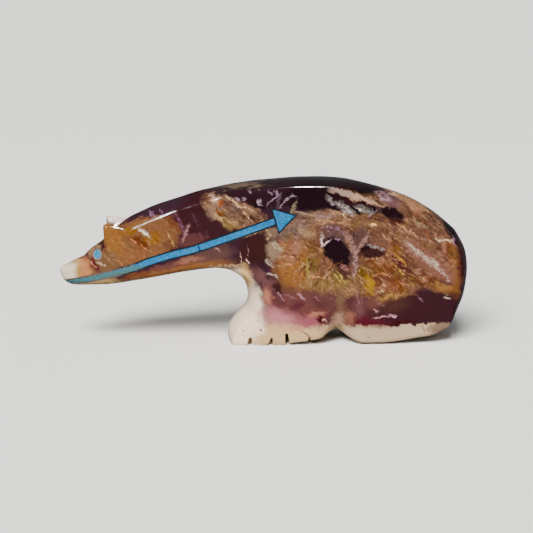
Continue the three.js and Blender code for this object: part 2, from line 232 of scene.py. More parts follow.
carving = {
    "length": 76.0,
    "height": 30.1,
    "thickness": 14.8,
    "strokes": {
        "muzzle": [(0.027, 0.345), (0.008, 0.375), (-0.002, 0.441), (0.01, 0.47), (0.034, 0.502),
                   (0.058, 0.53)],
        "forehead": [(0.058, 0.53), (0.075, 0.574), (0.106, 0.63), (0.136, 0.705), (0.172, 0.77)],
        "back": [(0.172, 0.77), (0.23, 0.836), (0.29, 0.885), (0.363, 0.938), (0.481, 0.982),
                 (0.6, 1), (0.72, 0.983), (0.837, 0.9), (0.911, 0.801), (0.9695, 0.68)],
        "rump": [(0.9695, 0.68), (0.994, 0.566), (1.001, 0.44), (0.994, 0.29), (0.981, 0.2),
                 (0.965, 0.12)],
        "hindBase": [(0.965, 0.12), (0.948, 0.075), (0.908, 0.03), (0.845, 0.006), (0.79, -0.008)],
        "hindToe": [(0.732, -0.008), (0.72, 0.008), (0.698, 0.04), (0.676, 0.078)],
        "archFront": [(0.676, 0.078), (0.655, 0.056), (0.637, 0.028), (0.603, 0.016),
                      (0.568, 0.006), (0.555, -0.03)],
        "frontFoot": [(0.42, -0.03), (0.4115, 0.008), (0.41, 0.04), (0.412, 0.083), (0.423, 0.132)],
        "chest": [(0.423, 0.132), (0.437, 0.173), (0.453, 0.215), (0.46, 0.28), (0.453, 0.36),
                  (0.437, 0.41), (0.413, 0.443), (0.382, 0.452)],
        "jaw": [(0.382, 0.452), (0.306, 0.428), (0.247, 0.4), (0.186, 0.373), (0.12, 0.348),
                (0.06, 0.342), (0.027, 0.345)],
    },
    "strokeSteps": 14,
    # how wide it is seen from above, in shares of the thickness
    "plan": [(-0.05, 0.52), (0.1, 0.585), (0.2, 0.655), (0.3, 0.76), (0.4, 0.905), (0.5, 0.98),
             (0.62, 1), (0.78, 0.995), (0.9, 0.94), (1.02, 0.86)],
    "faceCrease": 0.115,
    "faceCreaseLean": 0.5,
    "faceTaper": 0.27,
    "creaseSoftness": 0.5,
    # how far the edge falls away to the flank: place, and fall in shares of the thickness
    "crown": [(0.03, 0.45, 0.05), (0.08, 0.6, 0.1), (0.1, 0.35, 0.055), (0.2, 0.8, 0.115),
              (0.25, 0.4, 0.06), (0.33, 0.91, 0.09), (0.45, 0.97, 0.038), (0.62, 1, 0.033),
              (0.84, 0.9, 0.075), (0.98, 0.62, 0.105), (0.99, 0.3, 0.105), (0.93, 0.06, 0.05),
              (0.77, -0.01, 0.035), (0.675, 0.08, 0.02), (0.55, -0.03, 0), (0.44, -0.03, 0.02),
              (0.415, 0.08, 0.11), (0.46, 0.28, 0.13), (0.4, 0.45, 0.07)],
    "crownBlend": 2.0,
    "edgeSoftness": 0.7,
    # the near ear leans back and is worn rounder, the far one shows its tip above it
    "ear": {"front": 0.1135, "lean": 0.05, "top": 0.748, "root": 0.6, "fall": 0.23,
            "thickness": 0.075, "run": 0.08, "flare": 0.7, "softness": 0.4,
            "nearEdge": 0.9, "farEdge": 0.7, "nearRise": 0.12, "farRise": 0.5},
    "scoop": {"at": 0.682, "depth": 0.17, "foot": 0.06, "top": 0.34, "width": 0.0125,
              "flare": 1.2},
    "netStep": 0.15,                 # mm, of the tables of the side view
    "skinStep": 0.36,                # mm, of the carved surface
    "polishWaves": [(0.05, 0.14), (0.012, 0.5)],   # height in mm, waves to a millimetre
}

length = carving["length"]
height = carving["height"]
halfThickness = carving["thickness"] / 2


def alongBear(share):
    return (share - 0.5) * length


def place(point):
    return np.array([alongBear(point[0]), point[1] * height])


def softMax(a, b, width):
    meet = np.maximum(width - np.abs(a - b), 0) / width
    return np.maximum(a, b) + meet * meet * width / 4


def softMin(a, b, width):
    return -softMax(-a, -b, width)


def smoothCurve(points, steps):
    # an even curve through the points, with straight steps between them
    points = np.array(points, float)
    line = []
    last = len(points) - 1
    for i in range(last):
        before, here = points[max(i - 1, 0)], points[i]
        there, after = points[i + 1], points[min(i + 2, last)]
        t = np.arange(steps)[:, None] / steps
        leave, arrive = (there - before) / 2, (after - here) / 2
        line.append(
            (2 * t**3 - 3 * t**2 + 1) * here + (t**3 - 2 * t**2 + t) * leave
            + (3 * t**2 - 2 * t**3) * there + (t**3 - t**2) * arrive
        )
    line.append(points[-1:])
    return np.concatenate(line)


def sideNet(measure):
    # a measure of the side view, worked out once on a fine net and read between its knots
    step = carving["netStep"]
    margin = 3.0
    lowX = -length / 2 - margin
    xs = np.arange(lowX, length / 2 + margin + step, step)
    zs = np.arange(-margin, height + margin + step, step)
    knots = np.array([measure(np.full(len(zs), x), zs) for x in xs])

    def read(x, z):
        u = np.clip((x - lowX) / step, 0, len(xs) - 1.001)
        v = np.clip((z + margin) / step, 0, len(zs) - 1.001)
        i, k = u.astype(int), v.astype(int)
        u, v = u - i, v - k
        near = knots[i, k] * (1 - v) + knots[i, k + 1] * v
        far = knots[i + 1, k] * (1 - v) + knots[i + 1, k + 1] * v
        return near * (1 - u) + far * u

    return read


def drawOutline():
    strokes = carving["strokes"].values()
    steps = carving["strokeSteps"]
    line = np.concatenate([smoothCurve([place(p) for p in s], steps) for s in strokes])
    gaps = np.linalg.norm(line - np.roll(line, -1, axis=0), axis=1)
    return line[gaps > 1e-6]


outline = drawOutline()
nextCorner = np.roll(outline, -1, axis=0)
outlineRun = nextCorner - outline


def distanceToOutline(x, z):
    dx = x[:, None] - outline[:, 0]
    dz = z[:, None] - outline[:, 1]
    share = (dx * outlineRun[:, 0] + dz * outlineRun[:, 1]) / (outlineRun**2).sum(1)
    share = np.clip(share, 0, 1)
    gap = np.hypot(dx - share * outlineRun[:, 0], dz - share * outlineRun[:, 1]).min(1)
    rises = (outline[:, 1] > z[:, None]) != (nextCorner[:, 1] > z[:, None])
    flat = np.where(outlineRun[:, 1] == 0, 1, outlineRun[:, 1])
    left = x[:, None] < outline[:, 0] + dz / flat * outlineRun[:, 0]
    inside = (rises & left).sum(1) % 2 == 1
    return np.where(inside, -gap, gap)


planLine = smoothCurve(carving["plan"], 9)


def planHalfWidth(x):
    return np.interp(x / length + 0.5, planLine[:, 0], planLine[:, 1]) * halfThickness


def scoopDepth(x, z):
    scoop = carving["scoop"]
    t = np.clip((z / height - scoop["foot"]) / (scoop["top"] - scoop["foot"]), 0, 1)
    rise = 1 - t * t * (3 - 2 * t)
    width = scoop["width"] * length * (1 + scoop["flare"] * rise)
    off = (x - alongBear(scoop["at"])) / width
    return scoop["depth"] * carving["thickness"] * rise**2 * np.exp(-off * off)


def flankWidth(x, z):
    eyeLine = inlay["eye"][1] * height
    crease = alongBear(carving["faceCrease"]) - carving["faceCreaseLean"] * (z - eyeLine)
    face = planHalfWidth(crease) - carving["faceTaper"] * (crease - x)
    return softMin(planHalfWidth(x), face, carving["creaseSoftness"]) - scoopDepth(x, z)


def crownFall(x, z):
    stations = np.array(carving["crown"])
    gap = (x[:, None] - (stations[:, 0] - 0.5) * length) ** 2
    gap = gap + (z[:, None] - stations[:, 1] * height) ** 2
    weight = 1 / (gap + carving["crownBlend"] ** 2) ** 2
    return (weight * stations[:, 2]).sum(1) / weight.sum(1) * carving["thickness"]


# The inlays share the frame's sizes: what fills a channel is cut from the same lines.

inlay = {
    "eye": (0.0965, 0.554),
    "eyeSize": (1.32, 1.54),         # mm
    "eyeDepth": 1.1,
    "slipWidth": 1.07,
    "mouthSlipWidth": 0.75,
    "slipDepth": 1.2,
    "neckStart": 0.19,
    "heartline": [(0.008, 0.362), (0.0645, 0.391), (0.118, 0.425), (0.189, 0.477), (0.226, 0.514),
                  (0.287, 0.562), (0.345, 0.603), (0.531, 0.772)],
    "seam": 0.345,
    "arrowLength": 3.45,
    "arrowWidth": 4.2,
    "arrowTurn": -4.5,               # degrees
    "arrowDepth": 1.5,
    "glueWidth": 0.28,
    "glueSink": 0.14,
    "pasteWidth": 0.14,
    "seatGap": 0.01,
    "proud": 1.2,                    # how far a plug stands out of the flank before it is cut
    "slipStep": 0.5,
}

outlineDistance = sideNet(distanceToOutline)
flankHalfWidth = sideNet(flankWidth)
crownAt = sideNet(crownFall)


def earField(x, y, z, half):
    ear = carving["ear"]
    root = ear["root"] * height - z
    front = alongBear(ear["front"]) + ear["lean"] * root - x
    back = x - alongBear(ear["front"] + ear["run"])
    rise = np.where(y < 0, ear["nearRise"], ear["farRise"])
    top = z - ear["top"] * height - ear["fall"] * front - rise
    inner = half - ear["thickness"] * carving["thickness"] + ear["flare"] * top - np.abs(y)
    worn = np.where(y < 0, ear["nearEdge"], ear["farEdge"])
    block = root
    for plane in (front, back, top, inner, np.abs(y) - half):
        block = softMax(block, plane, worn)
    return block


def bearField(x, y, z):
    half = flankHalfWidth(x, z)
    edge = outlineDistance(x, z) + crownAt(x, z) * (y / half) ** 2
    body = softMax(edge, np.abs(y) - half, carving["edgeSoftness"])
    return softMin(body, earField(x, y, z, half), carving["ear"]["softness"])


def flankAt(x, z):
    # how far out the carved surface lies at a point of the side view
    x, z = np.asarray(x, float), np.asarray(z, float)
    halvings, beyond, deepest = 30, 0.5, 1.6
    low, high = np.zeros_like(x), flankHalfWidth(x, z) + beyond
    for _ in range(halvings):
        middle = (low + high) / 2
        inside = bearField(x, middle, z) < 0
        low = np.where(inside, middle, low)
        high = np.where(inside, high, middle)
    return np.maximum(low, flankHalfWidth(x, z) - deepest)


def slopeAt(points):
    nudge = 0.03
    slope = np.empty_like(points)
    for axis in range(3):
        step = np.zeros(3)
        step[axis] = nudge
        ahead = bearField(*(points + step).T)
        slope[:, axis] = (ahead - bearField(*(points - step).T)) / (2 * nudge)
    return slope


def settle(points, turns=3):
    # moves the points onto the surface, a stride at most each turn
    flattest, stride = 0.25, 0.4
    for _ in range(turns):
        slope = slopeAt(points)
        steep = np.maximum((slope**2).sum(1), flattest)
        points = points - slope * np.clip(bearField(*points.T) / steep, -stride, stride)[:, None]
    return points


def carveSkin():
    # lays a corner in every cell of a grid that the surface crosses, and joins neighbours
    step = carving["skinStep"]
    room = 1.0
    offFlank = 0.007                 # keeps the grid off the flat of the flanks
    below = 2.5                      # under the soles, where the feet are cut off later
    xs = np.arange(-length / 2 - room, length / 2 + 1.5 * room, step)
    ys = np.arange(-halfThickness - room, halfThickness + room + step, step) + offFlank
    zs = np.arange(-below, height + 1.2 * room, step)
    grid = np.meshgrid(xs, ys, zs, indexing="ij")
    values = bearField(*[g.ravel() for g in grid]).reshape(grid[0].shape)
    origin = np.array([xs[0], ys[0], zs[0]])
    cells = np.array(values.shape) - 1
    total = np.zeros((*cells, 3))
    crossings = np.zeros(cells)
    edges = []
    for axis in range(3):
        head = [slice(None)] * 3
        tail = [slice(None)] * 3
        head[axis], tail[axis] = slice(0, -1), slice(1, None)
        a, b = values[tuple(head)], values[tuple(tail)]
        at = np.argwhere((a < 0) != (b < 0))
        a, b = a[tuple(at.T)], b[tuple(at.T)]
        cut = at.astype(float)
        cut[:, axis] += a / (a - b)
        u, v = (axis + 1) % 3, (axis + 2) % 3
        ring = []
        for du, dv in ((0, 0), (1, 0), (1, 1), (0, 1)):
            cell = at.copy()
            cell[:, u] -= du
            cell[:, v] -= dv
            ring.append(cell)
            np.add.at(total, tuple(cell.T), cut)
            np.add.at(crossings, tuple(cell.T), 1)
        edges.append((ring, a < 0))
    used = crossings > 0
    corner = np.full(cells, -1)
    corner[used] = np.arange(used.sum())
    points = total[used] / crossings[used][:, None] * step + origin
    quads = []
    for ring, inside in edges:
        quad = np.stack([corner[tuple(cell.T)] for cell in ring], 1)
        quads.append(np.where(inside[:, None], quad, quad[:, ::-1]))
    return evenOut(settle(points), np.concatenate(quads))


def evenOut(points, quads):
    # slides the corners along the surface until they lie evenly
    rounds, pull = 3, 0.5
    for _ in range(rounds):
        total = np.zeros_like(points)
        count = np.zeros(len(points))
        for i in range(4):
            for j in (1, 3):
                np.add.at(total, quads[:, i], points[quads[:, (i + j) % 4]])
                np.add.at(count, quads[:, i], 1)
        points = settle(points * (1 - pull) + total / count[:, None] * pull, 2)
    return points, quads


def handPolish(points):
    # the slight waves that polishing by hand leaves, always cut into the form
    slope = slopeAt(points)
    slope /= np.linalg.norm(slope, axis=1)[:, None]
    sunk = np.zeros(len(points))
    for depth, rate in carving["polishWaves"]:
        wave = [noise.noise(Vector(p) * rate) for p in points]
        sunk += depth * (1 + np.array(wave))
    return points - slope * sunk[:, None]


def newPiece(name, points, faces, materials=()):
    mesh = bpy.data.meshes.new(name)
    mesh.from_pydata([tuple(p) for p in np.asarray(points) * mm], [], faces)
    mesh.validate()
    for material in materials:
        mesh.materials.append(material)
    piece = bpy.data.objects.new(name, mesh)
    bpy.context.scene.collection.objects.link(piece)
    return piece


def cutWith(piece, cutter, operation="DIFFERENCE"):
    tool = piece.modifiers.new("cut", "BOOLEAN")
    tool.operation = operation
    tool.object = cutter
    tool.solver = "MANIFOLD"
    tool.material_mode = "TRANSFER"
    seen = bpy.context.evaluated_depsgraph_get()
    cut = bpy.data.meshes.new_from_object(piece.evaluated_get(seen))
    old = piece.data
    piece.modifiers.clear()
    piece.data = cut
    bpy.data.meshes.remove(old)


def throwAway(piece):
    mesh = piece.data
    bpy.data.objects.remove(piece)
    bpy.data.meshes.remove(mesh)


# Lines of the inlays, drawn on the flank

heartCurve = smoothCurve([place(p) for p in inlay["heartline"]], 20)


def heartAt(x):
    return np.array([x, np.interp(x, heartCurve[:, 0], heartCurve[:, 1])])


def slipEdges(fromX, toX, grow):
    # the two long edges of a slip of the heartline
    count = max(int((toX - fromX) / inlay["slipStep"]), 2)
    middle = np.array([heartAt(x) for x in np.linspace(fromX, toX, count + 1)])
    run = np.gradient(middle, axis=0)
    run /= np.linalg.norm(run, axis=1)[:, None]
    across = np.stack([-run[:, 1], run[:, 0]], 1)
    neck = alongBear(inlay["neckStart"])
    width = np.interp(
        middle[:, 0],
        [-length / 2, neck],
        [inlay["mouthSlipWidth"], inlay["slipWidth"]],
    )
    reach = (width / 2 + grow)[:, None]
    middle[0] -= run[0] * grow
    middle[-1] += run[-1] * grow
    return middle - across * reach, middle + across * reach


def arrowCorners(grow):
    end = heartCurve[-1]
    run = heartCurve[-1] - heartCurve[-2]
    turn = math.atan2(run[1], run[0]) + math.radians(inlay["arrowTurn"])
    along = np.array([math.cos(turn), math.sin(turn)])
    across = np.array([-along[1], along[0]])
    half = inlay["arrowWidth"] / 2
    corners = np.array([end - across * half, end + along * inlay["arrowLength"], end + across * half])
    centre = corners.mean(0)
    inner = np.linalg.norm(np.cross(corners[1] - corners[0], corners[2] - corners[0]))
    sides = sum(np.linalg.norm(corners[i] - corners[i - 1]) for i in range(3))
    return centre + (corners - centre) * (1 + grow / (inner / sides))


def eyeCorners(grow, steps=40):
    turn = np.linspace(0, 2 * math.pi, steps, endpoint=False)
    centre = place(inlay["eye"])
    wide, tall = inlay["eyeSize"]
    return centre + np.stack(
        [(wide / 2 + grow) * np.cos(turn), (tall / 2 + grow) * np.sin(turn)], 1
    )


def throughFlank(line, side, depth):
    # a line of the side view, laid outside the flank and again at a depth under its surface
    out = flankAt(line[:, 0], line[:, 1])
    return [
        np.stack([line[:, 0], side * (out + reach), line[:, 1]], 1)
        for reach in (inlay["proud"], -depth)
    ]


def outwards(faces, side):
    return [tuple(reversed(face)) for face in faces] if side > 0 else faces


def prismFaces(count, side):
    # the faces between two like ends of so many corners
    faces = [tuple(range(count)), tuple(count + i for i in reversed(range(count)))]
    for i in range(count):
        j = (i + 1) % count
        faces.append((i, count + i, count + j, j))
    return outwards(faces, side)


def flankPlug(name, corners, side, depth, material):
    # a plug through the flank: its inner face follows the carved surface at the given depth
    points = np.concatenate(throughFlank(corners, side, depth))
    return newPiece(name, points, prismFaces(len(corners), side), [material])


def ribbonPlug(name, lower, upper, side, depth, material):
    # the same along a slip, with its faces in short steps
    count = len(lower)
    points = throughFlank(lower, side, depth) + throughFlank(upper, side, depth)
    lowOut, lowIn, highOut, highIn = (k * count for k in range(4))
    faces = []
    for i in range(count - 1):
        j = i + 1
        faces.append((lowOut + i, lowOut + j, highOut + j, highOut + i))
        faces.append((lowIn + i, highIn + i, highIn + j, lowIn + j))
        faces.append((lowOut + i, lowIn + i, lowIn + j, lowOut + j))
        faces.append((highOut + i, highOut + j, highIn + j, highIn + i))
    last = count - 1
    faces.append((lowOut, highOut, highIn, lowIn))
    faces.append((lowOut + last, lowIn + last, highIn + last, highOut + last))
    return newPiece(name, np.concatenate(points), outwards(faces, side), [material])


feet = {
    # a toe cut: place along, width and height in shares of the length and the height, lean,
    # and whether it runs right through under the foot
    "toeCuts": [
        (0.465, 0.0145, 0.052, 0.08, False),
        (0.5125, 0.012, 0.048, 0.3, False),
        (0.5585, 0.0125, 0.076, -0.12, True),
        (0.608, 0.0095, 0.058, 0.1, False),
    ],
    "toeCutDepth": 2.0,              # mm, packed dirt fills the rest
    "toeCutMouth": 0.6,              # half widths at the mouth and the top, in shares of the width
    "toeCutTop": 0.3,
    "toeCutBelow": 0.4,              # how far it starts under the sole, in shares of its height
    "toeCutSteps": 8,                # round the top
    "cracks": [
        # points in mm along and up, width and depth in mm
        ([(44.9, 2.8), (45.6, 2.3), (46.1, 1.9), (46.2, 1.4)], 0.16, 0.2),
        ([(67, 3.8), (67.3, 3.1), (67.5, 2.4), (67.7, 2.1)], 0.13, 0.16),
    ],
    "pits": [
        # along and up, across in mm
        (37.4, 2.9, 0.42), (34.2, 2.8, 0.34), (32.6, 2.1, 0.3), (57.2, 1.4, 0.36),
        (57.9, 1.9, 0.2), (62.5, 2.4, 0.22), (71.7, 9.2, 0.5), (59.6, 27.6, 0.5),
        (48, 16.9, 0.4), (54.9, 20.8, 0.5), (37.7, 26.6, 0.3), (58.9, 20.2, 0.3),
    ],
}


def toeCutter(at, width, tall, lean, through, side, material):
    wide, tall = width * length, tall * height
    mouth, top = feet["toeCutMouth"] * wide, feet["toeCutTop"] * wide
    below = -feet["toeCutBelow"] * tall
    profile = [(-mouth, below), (mouth, below)]
    for step in range(feet["toeCutSteps"] + 1):
        turn = math.pi * step / feet["toeCutSteps"]
        profile.append((lean * tall + top * math.cos(turn), tall - top + top * math.sin(turn)))
    profile = np.array(profile) + (alongBear(at), 0)
    inner = -1.0 if through else halfThickness - feet["toeCutDepth"]
    points = [(x, side * y, z) for y in (halfThickness + 1, inner) for x, z in profile]
    return newPiece("toe_cut", points, prismFaces(len(profile), side), [material])


def crackCutter(points, width, depth, side, material):
    line = np.array(points) - (length / 2, 0)
    run = np.gradient(line, axis=0)
    across = np.stack([-run[:, 1], run[:, 0]], 1) / np.linalg.norm(run, axis=1)[:, None]
    swell = np.sin(np.linspace(0.25, math.pi - 0.25, len(line)))[:, None] * width / 2
    return ribbonPlug("crack", line - across * swell, line + across * swell, side, depth, material)


def pitCutter(along, up, across, side, material):
    mesh = bpy.data.meshes.new("pit")
    pit = bmesh.new()
    bmesh.ops.create_icosphere(pit, subdivisions=2, radius=across / 2 * mm)
    pit.to_mesh(mesh)
    pit.free()
    x = along - length / 2
    y = side * float(flankAt([x], [up])[0])
    mesh.transform(Matrix.Translation(Vector((x, y, up)) * mm))
    mesh.materials.append(material)
    piece = bpy.data.objects.new("pit", mesh)
    bpy.context.scene.collection.objects.link(piece)
    return piece


def cutFeet(carved):
    # the toe cuts run in from both flanks, the cracks and pits show on the left one
    cutters = [toeCutter(*cut, side, dirtSurface) for cut in feet["toeCuts"] for side in (-1, 1)]
    cutters += [crackCutter(*crack, -1, pitSurface) for crack in feet["cracks"]]
    cutters += [pitCutter(*pit, -1, pitSurface) for pit in feet["pits"]]
    for cutter in cutters:
        cutWith(carved, cutter)
        throwAway(cutter)


def roundShading(piece, degrees=32):
    piece.data.polygons.foreach_set("use_smooth", [True] * len(piece.data.polygons))
    piece.data.set_sharp_from_angle(angle=math.radians(degrees))


# Shell

